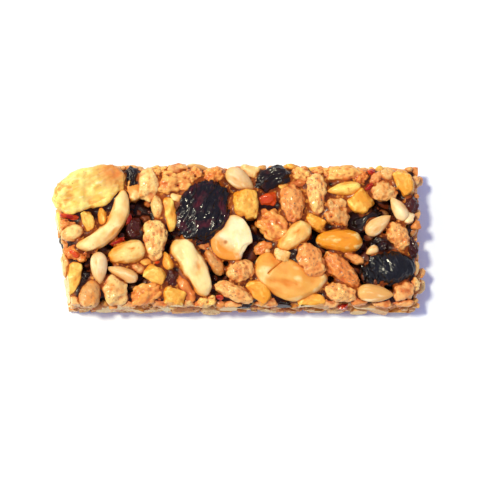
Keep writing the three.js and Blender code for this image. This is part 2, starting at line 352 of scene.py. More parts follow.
model_broken_nut("nut_block", (8.8, 7.2, 5.8), cuts=[(1, 1, 1), (-1, 0.2, 0.8)], levels=3)
for form, levels in (("nut", 2), ("plain", 1)):
    model_broken_nut(f"{form}_wedge", (7.8, 5.6, 4.8), [(1, 1, 0.3), (-1, 0.6, 1)], levels)
    model_broken_nut(f"{form}_chip", (6.6, 4.8, 3.6), [(1, -0.4, 1), (-0.4, 1, 1), (-1, -1, 0.2)], levels)

# %% [markdown]
# ### Grain crisps, puffed grain and clusters
# A crisp is dough that was puffed and baked: lumpy as a whole and grainy close up, with pits where bubbles
# burst. Reliefs at falling sizes make that: wide clouds for the lumps, Voronoi cells for the grains, and
# fine clouds for the crumb. The pits are Voronoi cells too, with so much contrast that only a spot in the
# middle of each cell is low. Puffed grain is rounder with softer bumps. A cluster is many small grains
# stuck together, so its cells are large and deep. Each comes in several forms, and in plain ones with few
# faces for the many that are small or half hidden.

# %% Model the crisps, puffs and clusters
def model_grainy(name, size, detail, lumps, grains, other, pits=None, crumb=None, narrower=0):
    """A ball with reliefs of several sizes; each is a pair of width and depth in millimetres."""
    piece = ball(name, size, detail)
    finish_with(piece, "CAST", cast_type="CUBOID", factor=0.06)
    deform(piece, "TAPER", "X", -narrower)
    relief(piece, "CLOUDS", lumps[0] * MM, lumps[1] * MM, other=other)
    piece.data.attributes.remove(piece.data.attributes["crest"])
    relief(piece, "VORONOI", grains[0] * MM, -grains[1] * MM, other=other, noise_intensity=1.3)
    if pits:
        relief(piece, "VORONOI", pits[0] * MM, pits[1] * MM, other=other, noise_intensity=1.5, contrast=4,
               intensity=2)
    if crumb:
        relief(piece, "CLOUDS", crumb[0] * MM, crumb[1] * MM, other=other)
    store(piece, size)


for form in range(4):
    model_grainy(f"crisp_{form}", (10, 7, 5), 5, lumps=(4.2, 1.4), grains=(1.2, 0.14), pits=(1.5, 0.16),
                 crumb=(0.5, 0.08), other=form, narrower=(0, 0.5, 0.1, 0.2)[form])
    model_grainy(f"plain_crisp_{form}", (10, 7, 5), 4, lumps=(4.6, 1.9), grains=(1.4, 0.4), other=form)
    model_grainy(f"small_crisp_{form}", (6.6, 4.8, 3.8), 4, lumps=(2.8, 1.7), grains=(1.2, 0.4),
                 other=form + 13)
    model_grainy(f"plain_bit_{form}", (6.6, 4.8, 3.8), 3, lumps=(2.6, 2), grains=(1.5, 0.6), other=form + 13)
model_grainy("crisp_drop", (12, 7, 5), 5, lumps=(4.6, 1.2), grains=(1.2, 0.14), pits=(1.5, 0.14),
             crumb=(0.5, 0.08), other=4, narrower=0.6)
for form in range(3):
    model_grainy(f"puff_{form}", (8.4, 6, 5), 5, lumps=(3.8, (3, 1.6, 2)[form]), grains=(1.7, 0.2),
                 crumb=(0.5, 0.12), other=form + 5)
    model_grainy(f"plain_puff_{form}", (8.4, 6, 5), 4, lumps=(3.4, 2), grains=(2, 0.5), other=form + 5)
    model_grainy(f"cluster_{form}", (9, 7, 5), 5, lumps=(3.2, 2.6), grains=(1.3, 0.34), pits=(1.7, 0.16),
                 crumb=(0.5, 0.14), other=form + 9)
    model_grainy(f"plain_cluster_{form}", (9, 7, 5), 4, lumps=(3, 2.6), grains=(1.4, 0.7), other=form + 9)
    model_grainy(f"crumb_{form}", (3.2, 2.5, 2.1), 2, lumps=(1.6, 1.1), grains=(1, 0.4), other=form + 18)

# %% [markdown]
# ### Dried fruit
# A berry that dries shrinks inside its skin, so the skin folds: long deep folds first, then finer wrinkles
# across them. Ridged noise has sharp crests and round dips, as folded skin does, and drawing it out along
# the fruit turns it into folds. The large dark fruit is the most folded, the raisins are small and tight,
# and the blue-black berry is still nearly smooth at one end, so its relief fades out towards its tip.

# %% Model the dried fruit
def model_fruit(name, size, detail, folds, wrinkles, other, drawn_out=(2, 1, 1), smooth_tip=0):
    """A ball whose skin has folds and finer wrinkles, each a pair of width and depth in millimetres."""
    fruit = ball(name, size, detail)
    relief(fruit, "CLOUDS", 0.42 * size[0] * MM, 0.2 * size[2] * MM, other=other)
    fruit.data.attributes.remove(fruit.data.attributes["crest"])
    plump = read(fruit)
    ridged = dict(musgrave_type="RIDGED_MULTIFRACTAL", dimension_max=1.1, octaves=2, offset=0.9)
    relief(fruit, "MUSGRAVE", folds[0] * MM, folds[1] * MM, drawn_out=drawn_out, other=other, **ridged)
    relief(fruit, "MUSGRAVE", wrinkles[0] * MM, wrinkles[1] * MM, drawn_out=drawn_out, other=other + 1,
           **ridged)
    along = read(fruit)[:, :1] / (size[0] * MM) + 0.5
    keep = 1 - smooth_tip * np.clip(1.6 * along - 0.3, 0, 1)
    place(fruit, plump + keep * (read(fruit) - plump))
    store(fruit, size)


model_fruit("large_fruit", (20, 15.8, 8.2), 6, folds=(3.4, 1.1), wrinkles=(1.2, 0.55), other=2,
            drawn_out=(2.8, 1, 1))
model_fruit("berry", (15.9, 10.2, 7.4), 6, folds=(2.8, 1.2), wrinkles=(1.5, 0.5), other=5,
            drawn_out=(0.8, 2.2, 1), smooth_tip=0.75)
for form in range(3):
    model_fruit(f"raisin_{form}", (11, 6.8, 5), 5, folds=(2.4, 0.9), wrinkles=(1, 0.25), other=form + 7)
model_fruit("plain_raisin", (11, 6.8, 5), 4, folds=(2.4, 0.9), wrinkles=(1.2, 0.2), other=10)
model_fruit("fruit_bit", (5, 4.6, 3.8), 4, folds=(2.6, 0.6), wrinkles=(1.4, 0.25), other=12)

# %% [markdown]
# ### The banana chip
# A slice cut slantwise from a banana, dried until it rang: a thick oval disc whose rim stands up a little
# because the flesh in the middle shrank more. The rim of a cylinder is bevelled, and both its faces are
# inset four times, which gives edge loops that sink towards the middle. Then the disc is drawn out to an
# oval and subdivided, and Cast blunts its ends.

# %% Model the banana chip
chip_size = (21.6, 12.6, 5.6)
bpy.ops.mesh.primitive_cylinder_add(vertices=48, radius=6 * MM, depth=5.4 * MM, end_fill_type="NGON")
chip = bpy.context.object
chip.name = "chip"
with edit_mode(chip):
    bpy.ops.mesh.select_mode(type="EDGE")
    bpy.ops.mesh.select_all(action="DESELECT")
    bpy.ops.mesh.edges_select_sharp(sharpness=math.radians(60))
    bpy.ops.mesh.bevel(offset=1.9 * MM, segments=5, affect="EDGES")
    bpy.ops.mesh.select_mode(type="FACE")
    bpy.ops.mesh.select_all(action="DESELECT")
    bpy.ops.mesh.select_face_by_sides(number=4, type="GREATER")
    for inset, sink in ((0.6, -0.15), (0.9, -0.2), (1.2, 0), (1, 0.1)):
        bpy.ops.mesh.inset(thickness=inset * MM, use_individual=True)
        bpy.ops.transform.shrink_fatten(value=sink * MM)
    bpy.ops.mesh.poke()
    bpy.ops.mesh.select_mode(type="VERT")
    bpy.ops.mesh.select_all(action="SELECT")
    bpy.ops.transform.resize(value=(chip_size[0] / chip_size[1], 1, 1))
finish_with(chip, "SUBSURF", levels=2, render_levels=2)
finish_with(chip, "CAST", cast_type="CUBOID", factor=0.3, use_z=False)
relief(chip, "CLOUDS", 5 * MM, 2.2 * MM, other=4)
relief(chip, "CLOUDS", 2.2 * MM, 0.5 * MM, drawn_out=(2.2, 1, 1), other=2)
relief(chip, "CLOUDS", 0.7 * MM, 0.08 * MM, drawn_out=(2, 1, 1), other=1)
store(chip, chip_size)

# %% [markdown]
# ## Finishes
# Every ingredient has a colour of its own and a thin coat of boiled syrup. The colour comes from patterns
# that read what was noted on each vertex: `grain`, the place on the ingredient itself in metres, so that a
# pattern stays with the piece however it lies; `form`, the same from -1 to 1; `tint`, one number for each
# piece, because no two roast alike; `crest`, how high the relief stands; how near the syrup is; and how
# deep the spot lies in the bar. Light and shade are painted in with these notes too: shade down the sides
# of nuts and in dips, light on the crests of nuts and grain, shade deep in the bar, and warm light thrown
# back by neighbouring pieces where the syrup meets them.

# %% Helpers for materials
def colour(code):
    """An sRGB hex code as the linear numbers that a socket takes."""
    parts = [int(code[place:place + 2], 16) / 255 for place in (1, 3, 5)]
    return [part / 12.92 if part <= 0.04045 else ((part + 0.055) / 1.055) ** 2.4 for part in parts] + [1]


def add(tree, kind, sockets=None, **settings):
    """Adds a node with its settings; a socket takes a number, a hex colour or the node to link to it."""
    made = tree.nodes.new("ShaderNode" + kind)
    for name, value in settings.items():
        setattr(made, name, value)
    for name, value in (sockets or {}).items():
        connect(tree, made, name, value)
    return made


def connect(tree, made, name, value):
    """Sets or links one socket of a node."""
    socket = next(each for each in made.inputs if each.name == name and each.enabled)
    if isinstance(value, bpy.types.Node):
        tree.links.new(next(each for each in value.outputs if each.enabled), socket)
    elif isinstance(value, str):
        socket.default_value = colour(value)
    else:
        socket.default_value = value


def start(name, **numbers):
    """Makes a material with constants on its shader; returns it, its tree, its shader and `grain` node."""
    material = bpy.data.materials.new(name)
    material.use_nodes = True
    tree = material.node_tree
    shader = tree.nodes["Principled BSDF"]
    for socket, value in numbers.items():
        connect(tree, shader, socket.replace("_", " "), value)
    return material, tree, shader, add(tree, "Attribute", attribute_name="grain")


def mix(tree, share, under, over):
    """One colour laid over another in a share."""
    return add(tree, "Mix", {"Factor": share, "A": under, "B": over}, data_type="RGBA")


def mottled(tree, at, width, under, over, low=0.4, high=0.6, detail=2):
    """Soft patches of one colour over another, as wide as the width in millimetres."""
    cloud = add(tree, "TexNoise", {"Vector": at, "Scale": 1 / (width * MM), "Detail": detail})
    share = add(tree, "MapRange", {"Value": cloud, "From Min": low, "From Max": high})
    return mix(tree, share, under, over)


def by_note(tree, name, low, high, under, over):
    """Passes from one colour to another as the note on the vertices goes from low to high."""
    noted_value = add(tree, "Attribute", attribute_name=name)
    share = add(tree, "MapRange", {"Value": noted_value, "From Min": low, "From Max": high})
    return mix(tree, share, under, over)


def measured(tree, operation, target):
    """How far a spot on the ingredient is from a target in its `form`, or how far along it."""
    form = add(tree, "Attribute", attribute_name="form")
    measure = add(tree, "VectorMath", {"Vector": form}, operation=operation)
    measure.inputs[1].default_value = target
    return measure


def ragged(tree, at, measure, width, play, low, high):
    """A share that follows a measure from low to high, with an edge that plays to and fro.

    The width of its waves is in millimetres, and the play is in the measure's own units.
    """
    waves = add(tree, "TexNoise", {"Vector": at, "Scale": 1 / (width * MM)})
    wavy = add(tree, "Math", operation="MULTIPLY_ADD")
    tree.links.new(waves.outputs[0], wavy.inputs[0])
    wavy.inputs[1].default_value = play
    tree.links.new(measure.outputs["Value"], wavy.inputs[2])
    return add(tree, "MapRange", {"Value": wavy, "From Min": low, "From Max": high})


def syruped(tree, skin, syrup_and_bounce, deep_shade):
    """Orange near the web, where syrup climbs a piece and painted warm light falls; painted shade deep in the
    bar.
    """
    # Orange where the syrup climbs the piece, which also paints warm light thrown back by its neighbours.
    rimmed = by_note(tree, "syrup_rim_and_bounce", 0.36, 0.92, skin, syrup_and_bounce)
    # Painted shade: dark deep in the bar.
    return by_note(tree, "depth_shade", 0.15, 0.9, rimmed, deep_shade)


def rough(tree, shader, at, width, height):
    """Relief too fine to model, as wide and high as the millimetres given."""
    cloud = add(tree, "TexNoise", {"Vector": at, "Scale": 1 / (width * MM), "Detail": 3})
    bump = add(tree, "Bump", {"Height": cloud, "Distance": height * MM, "Strength": 1})
    connect(tree, shader, "Normal", bump)


# %% [markdown]
# ### Nuts, seeds and kernels
# Roast nut flesh is waxy: light goes a millimetre or two into it and comes out warmer, which is what
# subsurface scattering gives. It is matt, with only a thin clear coat of syrup. Its colour has painted light
# and shade in it: painted shade makes it more golden down its sides and darker in its dips, painted light
# paler on its crests, and it is orange where the syrup climbs it, partly syrup and partly painted warm light.

# %% Nut finishes
WAXY = dict(Subsurface_Weight=0.25, Subsurface_Radius=(1, 0.45, 0.2), Subsurface_Scale=1.2 * MM,
            Roughness=0.5, Specular_IOR_Level=0.3, Coat_Weight=0.1, Coat_Roughness=0.18)


def painted_side_shade(tree, top, bottom):
    """A share of painted shade, from nought to one as the height on the ingredient, from -1 to 1, goes from
    top to bottom.
    """
    form = add(tree, "SeparateXYZ", {"Vector": add(tree, "Attribute", attribute_name="form")})
    share = add(tree, "MapRange", {"From Min": top, "From Max": bottom})
    tree.links.new(form.outputs["Z"], share.inputs["Value"])
    return share


def nut_finish(name, pale, golden, toasted_and_dip_shade, syrup_and_bounce="#cf7418", fleck_share=0.66):
    """Roast nut: pale to golden, toasted in patches, glazed; painted shade down its sides and in its dips,
    painted light on its crests.
    """
    material, tree, shader, at = start(name, **WAXY)
    fair = by_note(tree, "tint", 0, 1, pale, golden)
    # Painted shade: more golden down the sides.
    side = mix(tree, 0.85, fair, golden)
    side_shaded = mix(tree, painted_side_shade(tree, 0.85, 0.1), fair, side)
    warmer = mix(tree, 0.65, side_shaded, golden)
    patchy = mottled(tree, at, 4.5, side_shaded, warmer, low=0.42, high=0.64)
    # Painted light and shade: paler on the relief's crests, darker in its dips and along the large cashew's
    # crease.
    lit_crests = by_note(tree, "crest", 0.5, 2.4, patchy, pale)
    shaded_dips = by_note(tree, "crest", -0.8, -2.8, lit_crests, toasted_and_dip_shade)
    flecked = mottled(tree, at, 1.3, shaded_dips, toasted_and_dip_shade, low=fleck_share, high=fleck_share + 0.2)
    # Painted shade: the large cashew's crack is painted nearly black.
    crack_shade = by_note(tree, "crest", -3.2, -4.2, flecked, "#3a200e")
    connect(tree, shader, "Base Color", syruped(tree, crack_shade, syrup_and_bounce, "#642404"))
    rough(tree, shader, at, 0.5, 0.05)
    return material


finishes = {
    "cashews": nut_finish("roast_cashew_glazed", "#f2dc9a", "#dd9a38", "#d8882c"),
    "peanuts": nut_finish("roast_peanut_glazed", "#f0d080", "#e08e18", "#d27e1a"),
    "chopped_nuts": nut_finish("chopped_nut_glazed", "#f5d26c", "#e0921a", "#c86a10", fleck_share=0.6),
    "sunflower_seeds": nut_finish("hulled_sunflower_seed", "#eed6a4", "#dca458", "#d8a058", syrup_and_bounce="#c08040",
                                  fleck_share=0.7),
    "yellow_kernels": nut_finish("split_kernel_glazed", "#f6da70", "#de942c", "#cc7c1c", fleck_share=0.6),
}

# %% The pale split nut
material, tree, shader, at = start("pale_nut_split", **WAXY)
flesh = mottled(tree, at, 3, "#eee2b4", "#ecd69a")
# Painted shade: orange towards the hollow, with a ragged edge.
toward_hollow = measured(tree, "DOT_PRODUCT", (0.75, -0.45, 0))
deeper_orange = ragged(tree, at, toward_hollow, width=2.2, play=0.7, low=0.5, high=0.9)
shaded_hollow = mix(tree, deeper_orange, flesh, "#dc8c2a")
from_germ = measured(tree, "DISTANCE", (0.23, -0.28, 0.66))
germ = add(tree, "MapRange", {"Value": from_germ, "From Min": 0.17, "From Max": 0.09})
marked = mix(tree, germ, shaded_hollow, "#7a3014")
# Painted shade: golden round the rim, on the nut's sides.
form = add(tree, "SeparateXYZ", {"Vector": add(tree, "Attribute", attribute_name="form")})
from_rim = add(tree, "Math", operation="ABSOLUTE")
tree.links.new(form.outputs["Z"], from_rim.inputs[0])
rim_shade = add(tree, "MapRange", {"Value": from_rim, "From Min": 0.5, "From Max": 0})
golden = mix(tree, rim_shade, marked, "#efc96a")
connect(tree, shader, "Base Color", syruped(tree, golden, "#d98a2c", "#7a3a10"))
rough(tree, shader, at, 0.5, 0.04)
finishes["split_nut_half"] = material

# %% [markdown]
# ### Banana
# Dried banana is bright yellow flesh with streaks of pale pith, and this slice has a scorched orange patch
# near one end. A few brown flecks lie in it. It is the least glazed piece.

# %% Banana finish
material, tree, shader, at = start("dried_banana", Subsurface_Weight=0.3, Subsurface_Radius=(1, 0.6, 0.2),
                                   Subsurface_Scale=1.5 * MM, Roughness=0.5, Coat_Weight=0.2,
                                   Coat_Roughness=0.25)
flesh = mottled(tree, at, 3, "#f4de7c", "#edc95a")
streaks = add(tree, "Mapping", {"Vector": at, "Scale": (0.35, 1, 1)})
pith = mottled(tree, streaks, 1.1, flesh, "#f9eab2", low=0.58, high=0.75)
# Painted shade: the dents are darker orange.
shaded_dents = by_note(tree, "crest", -0.2, -1.8, pith, "#dc9834")
from_scorch = measured(tree, "DISTANCE", (0.78, 0.3, 0.55))
scorched = ragged(tree, streaks, from_scorch, width=1.6, play=0.8, low=1.3, high=0.5)
browner = mix(tree, scorched, shaded_dents, "#dc8230")
flecked = mottled(tree, at, 0.7, browner, "#a8692a", low=0.7, high=0.78)
connect(tree, shader, "Base Color", syruped(tree, flecked, "#e2a844", "#7a3c10"))
rough(tree, shader, streaks, 0.6, 0.08)
finishes["banana_slice"] = material

# %% [markdown]
# ### Baked grain
# A crisp is dry and open-grained, so it is rough and has little shine. It is orange in patches where it
# browned or where syrup soaked in, with flecks of bran, and its crests are painted cream and its pits brown,
# which is painted light and painted shade. The bran is finer than a picture of this size can show, so the
# flecks are drawn half a millimetre wide.

# %% Grain finishes
def grain_finish(name, pale, baked, deeper_orange, bran_share=0.66, pit_shade="#b0642a"):
    """Baked grain: orange patches and flecks of bran, with painted light on its crests and painted shade in
    its pits.
    """
    material, tree, shader, at = start(name, Subsurface_Weight=0.12, Subsurface_Radius=(1, 0.5, 0.25),
                                       Subsurface_Scale=0.8 * MM, Roughness=0.6, Specular_IOR_Level=0.35,
                                       Coat_Weight=0.35, Coat_Roughness=0.17)
    dough = by_note(tree, "tint", 0, 1, pale, baked)
    patchy = mottled(tree, at, 2.6, dough, deeper_orange, low=0.47, high=0.72)
    # Painted light on the crests and painted shade in the pits.
    crested = by_note(tree, "crest", 0.8, 3.4, patchy, pale)
    shaded_dips = by_note(tree, "crest", -1.2, -3.4, crested, pit_shade)
    branny = mottled(tree, at, 0.5, shaded_dips, "#7a5c46", low=bran_share, high=bran_share + 0.12, detail=1)
    connect(tree, shader, "Base Color", syruped(tree, branny, "#b85612", "#642206"))
    rough(tree, shader, at, 0.35, 0.1)
    return material


finishes["grain_crisps"] = grain_finish("baked_crisp", "#f5c874", "#d98234", "#d6782a", bran_share=0.61)
finishes["crisp_bits"] = grain_finish("baked_crisp_bits", "#efba70", "#d6802e", "#d06a20")
finishes["puffed_grains"] = grain_finish("puffed_grain_glazed", "#f5d080", "#c88c48", "#dc8830",
                                         pit_shade="#a86c3a")
finishes["grain_clusters"] = grain_finish("syrup_cluster", "#f2c064", "#de842a", "#d4681c", bran_share=0.72)
finishes["crumbs"] = grain_finish("crumb", "#ecbc6c", "#d68a34", "#c8601c")

# %% [markdown]
# ### Dried fruit
# Dark dried fruit takes in nearly all the light that enters it. What the eye sees of it is its gloss: syrup
# over skin whose folds each throw a thin bright line. So it is nearly black under a full coat. Where it is
# thin, red shows through, and the little red bits are clear enough to glow.

# %% Fruit finishes
def fruit_finish(name, skin, flesh, crest_tone, gloss=0.2, coat=0.8, clear=0.1, flesh_share=0.6):
    """Dried fruit: dark skin, flesh that shows through in patches, and a lighter colour on its crests."""
    material, tree, shader, at = start(name, Subsurface_Weight=clear, Subsurface_Radius=(1, 0.15, 0.1),
                                       Subsurface_Scale=1.5 * MM, Roughness=0.5, Specular_IOR_Level=0.1,
                                       Coat_Weight=coat, Coat_Roughness=gloss, Coat_IOR=1.36)
    patchy = mottled(tree, at, 3, skin, flesh, low=flesh_share, high=flesh_share + 0.2)
    crested = by_note(tree, "crest", 0.4, 2.6, patchy, crest_tone)
    connect(tree, shader, "Base Color", by_note(tree, "tint", 0.5, 1, crested, flesh))
    rough(tree, shader, at, 0.5, 0.12)
    return material


finishes["large_dried_fruit"] = fruit_finish("dark_dried_fruit", "#090302", "#4c1018", "#180706",
                                             gloss=0.11, coat=1, flesh_share=0.5)
finishes["raisins"] = fruit_finish("raisin_skin", "#140804", "#461810", "#2a1610")
finishes["dried_berry"] = fruit_finish("blue_black_berry", "#0a0908", "#16161a", "#1e1e22",
                                       gloss=0.13, coat=1)
finishes["red_fruit"] = fruit_finish("red_fruit_glazed", "#981408", "#d04c12", "#d0582a",
                                     gloss=0.12, coat=1, clear=0.4, flesh_share=0.45)

# %% [markdown]
# ### Cut faces and syrup
# The knife leaves nuts paler inside than out, grain open and porous, and fruit dark and sticky. The syrup
# is sugar boiled until it browned. In a thin web it is orange. Deep in the bar and in the gaps between the
# pieces it is painted nearly black, which is painted shade.

# %% Finishes of the cut faces and the syrup
def cut_finish(name, pale, deep, gloss, syrup="#c8642a", pores=None):
    """What the knife left: flesh, open pores if it has any, and some syrup dragged over it."""
    material, tree, shader, at = start(name, Subsurface_Weight=0.15, Subsurface_Radius=(1, 0.5, 0.25),
                                       Subsurface_Scale=1 * MM, Roughness=gloss, Coat_Weight=0.25,
                                       Coat_Roughness=0.25)
    flesh = by_note(tree, "tint", 0, 1, pale, deep)
    smeared = mottled(tree, at, 0.9, flesh, deep, low=0.5, high=0.7)
    if pores:
        smeared = mottled(tree, at, 0.6, smeared, pores, low=0.56, high=0.64, detail=1)
    connect(tree, shader, "Base Color", mottled(tree, at, 2.5, smeared, syrup, low=0.6, high=0.7))
    rough(tree, shader, at, 0.7, 0.25)
    return material


cut_nut = cut_finish("cut_nut", "#f6e0a2", "#eabc6c", gloss=0.5)
cut_grain = cut_finish("cut_grain", "#f4d088", "#e0a050", gloss=0.65, pores="#b4763a")
cut_fruit = cut_finish("cut_fruit", "#1c080a", "#34100e", gloss=0.4, syrup="#4a1a10")
cut_red_fruit = cut_finish("cut_red_fruit", "#c04420", "#982814", gloss=0.4, syrup="#701c10")
grains = ("grain_crisps", "crisp_bits", "puffed_grains", "grain_clusters", "crumbs")
dark_fruits = ("large_dried_fruit", "raisins", "dried_berry")
cuts = {kind: cut_nut for kind in finishes}
cuts.update({kind: cut_grain for kind in grains})
cuts.update({kind: cut_fruit for kind in dark_fruits})
cuts["red_fruit"] = cut_red_fruit

syrup_finish, tree, shader, _ = start("boiled_syrup", Subsurface_Weight=0.2,
                                      Subsurface_Radius=(1, 0.3, 0.08), Subsurface_Scale=1.5 * MM,
                                      Roughness=0.35, Specular_IOR_Level=0.1, Coat_Weight=0.13,
                                      Coat_Roughness=0.16)
place_in_bar = add(tree, "TexCoord")
where = add(tree, "Mapping")  # only passes the place in the bar on
tree.links.new(place_in_bar.outputs["Object"], where.inputs["Vector"])
web = mottled(tree, where, 3, "#8e420c", "#582206")
crumby = mottled(tree, where, 1.1, web, "#c47a2c", low=0.56, high=0.66)
# Painted shade: the syrup goes nearly black deep in the bar and in the gaps.
syrup_shaded = by_note(tree, "depth_shade", 0, 0.13, crumby, "#240a03")
crust = mottled(tree, where, 1.4, "#c47428", "#e8b060", low=0.44, high=0.56)
connect(tree, shader, "Base Color", by_note(tree, "tint", 0.2, 0.8, syrup_shaded, crust))
rough(tree, shader, where, 0.8, 0.2)
print(len(finishes), "finishes")

# %% [markdown]
# ## The heap
# The large pieces come first, where the CAD frame has them. Each row gives a kind, a form from the pantry,
# where the middle of the piece is, its length, width and thickness, its heading, how it leans over its long
# axis, how its tip is lifted, and its tint. What a laid piece takes up is remembered as a few balls, which
# is all that the packing of the rest needs to know.

# %% Helpers for laying pieces
chance = np.random.default_rng(20)
heap = {kind: [] for kind in finishes}
taken = np.zeros((0, 4))


def turned(turn, lean, pitch):
    """The rotation of a heading, a lean and a pitch in degrees."""
    steps = ((turn, "Z"), (-pitch, "Y"), (lean, "X"))
    whole = Matrix.Identity(3)
    for angle, axis in steps:
        whole = whole @ Matrix.Rotation(math.radians(angle), 3, axis)
    return np.array(whole)


def room_of(at, size, rotation):
    """The balls that stand for a piece: x, y, z and radius in millimetres."""
    length, width, thickness = size
    number = max(1, round(length / width))
    radius = (width + thickness) / 4
    steps = np.linspace(-1, 1, number) * (length / 2 - radius) if number > 1 else np.zeros(1)
    return np.array([[*(np.array(at) + rotation @ (step, 0, 0)), radius] for step in steps])


def lay(kind, form, at, size, turn, lean=0, pitch=0, tint=0.5):
    """Copies a form from the pantry into the heap, at a place and size in millimetres."""
    global taken
    source = pantry[form]
    piece = source.copy()
    piece.data = source.data.copy()
    piece.data.materials.append(finishes[kind])
    piece.data.materials.append(cuts[kind])
    bpy.context.scene.collection.objects.link(piece)
    unit = read(source) / (np.array(source["size_mm"]) * MM / 2)
    own = unit * np.array(size) * MM / 2
    note(piece, "form", unit)
    note(piece, "grain", own + chance.uniform(-0.5, 0.5, 3))
    note(piece, "tint", np.full(len(own), tint))
    rotation = turned(turn, lean, pitch)
    place(piece, own @ rotation.T + np.array(at) * MM)
    taken = np.vstack([taken, room_of(at, size, rotation)])
    heap[kind].append(piece)


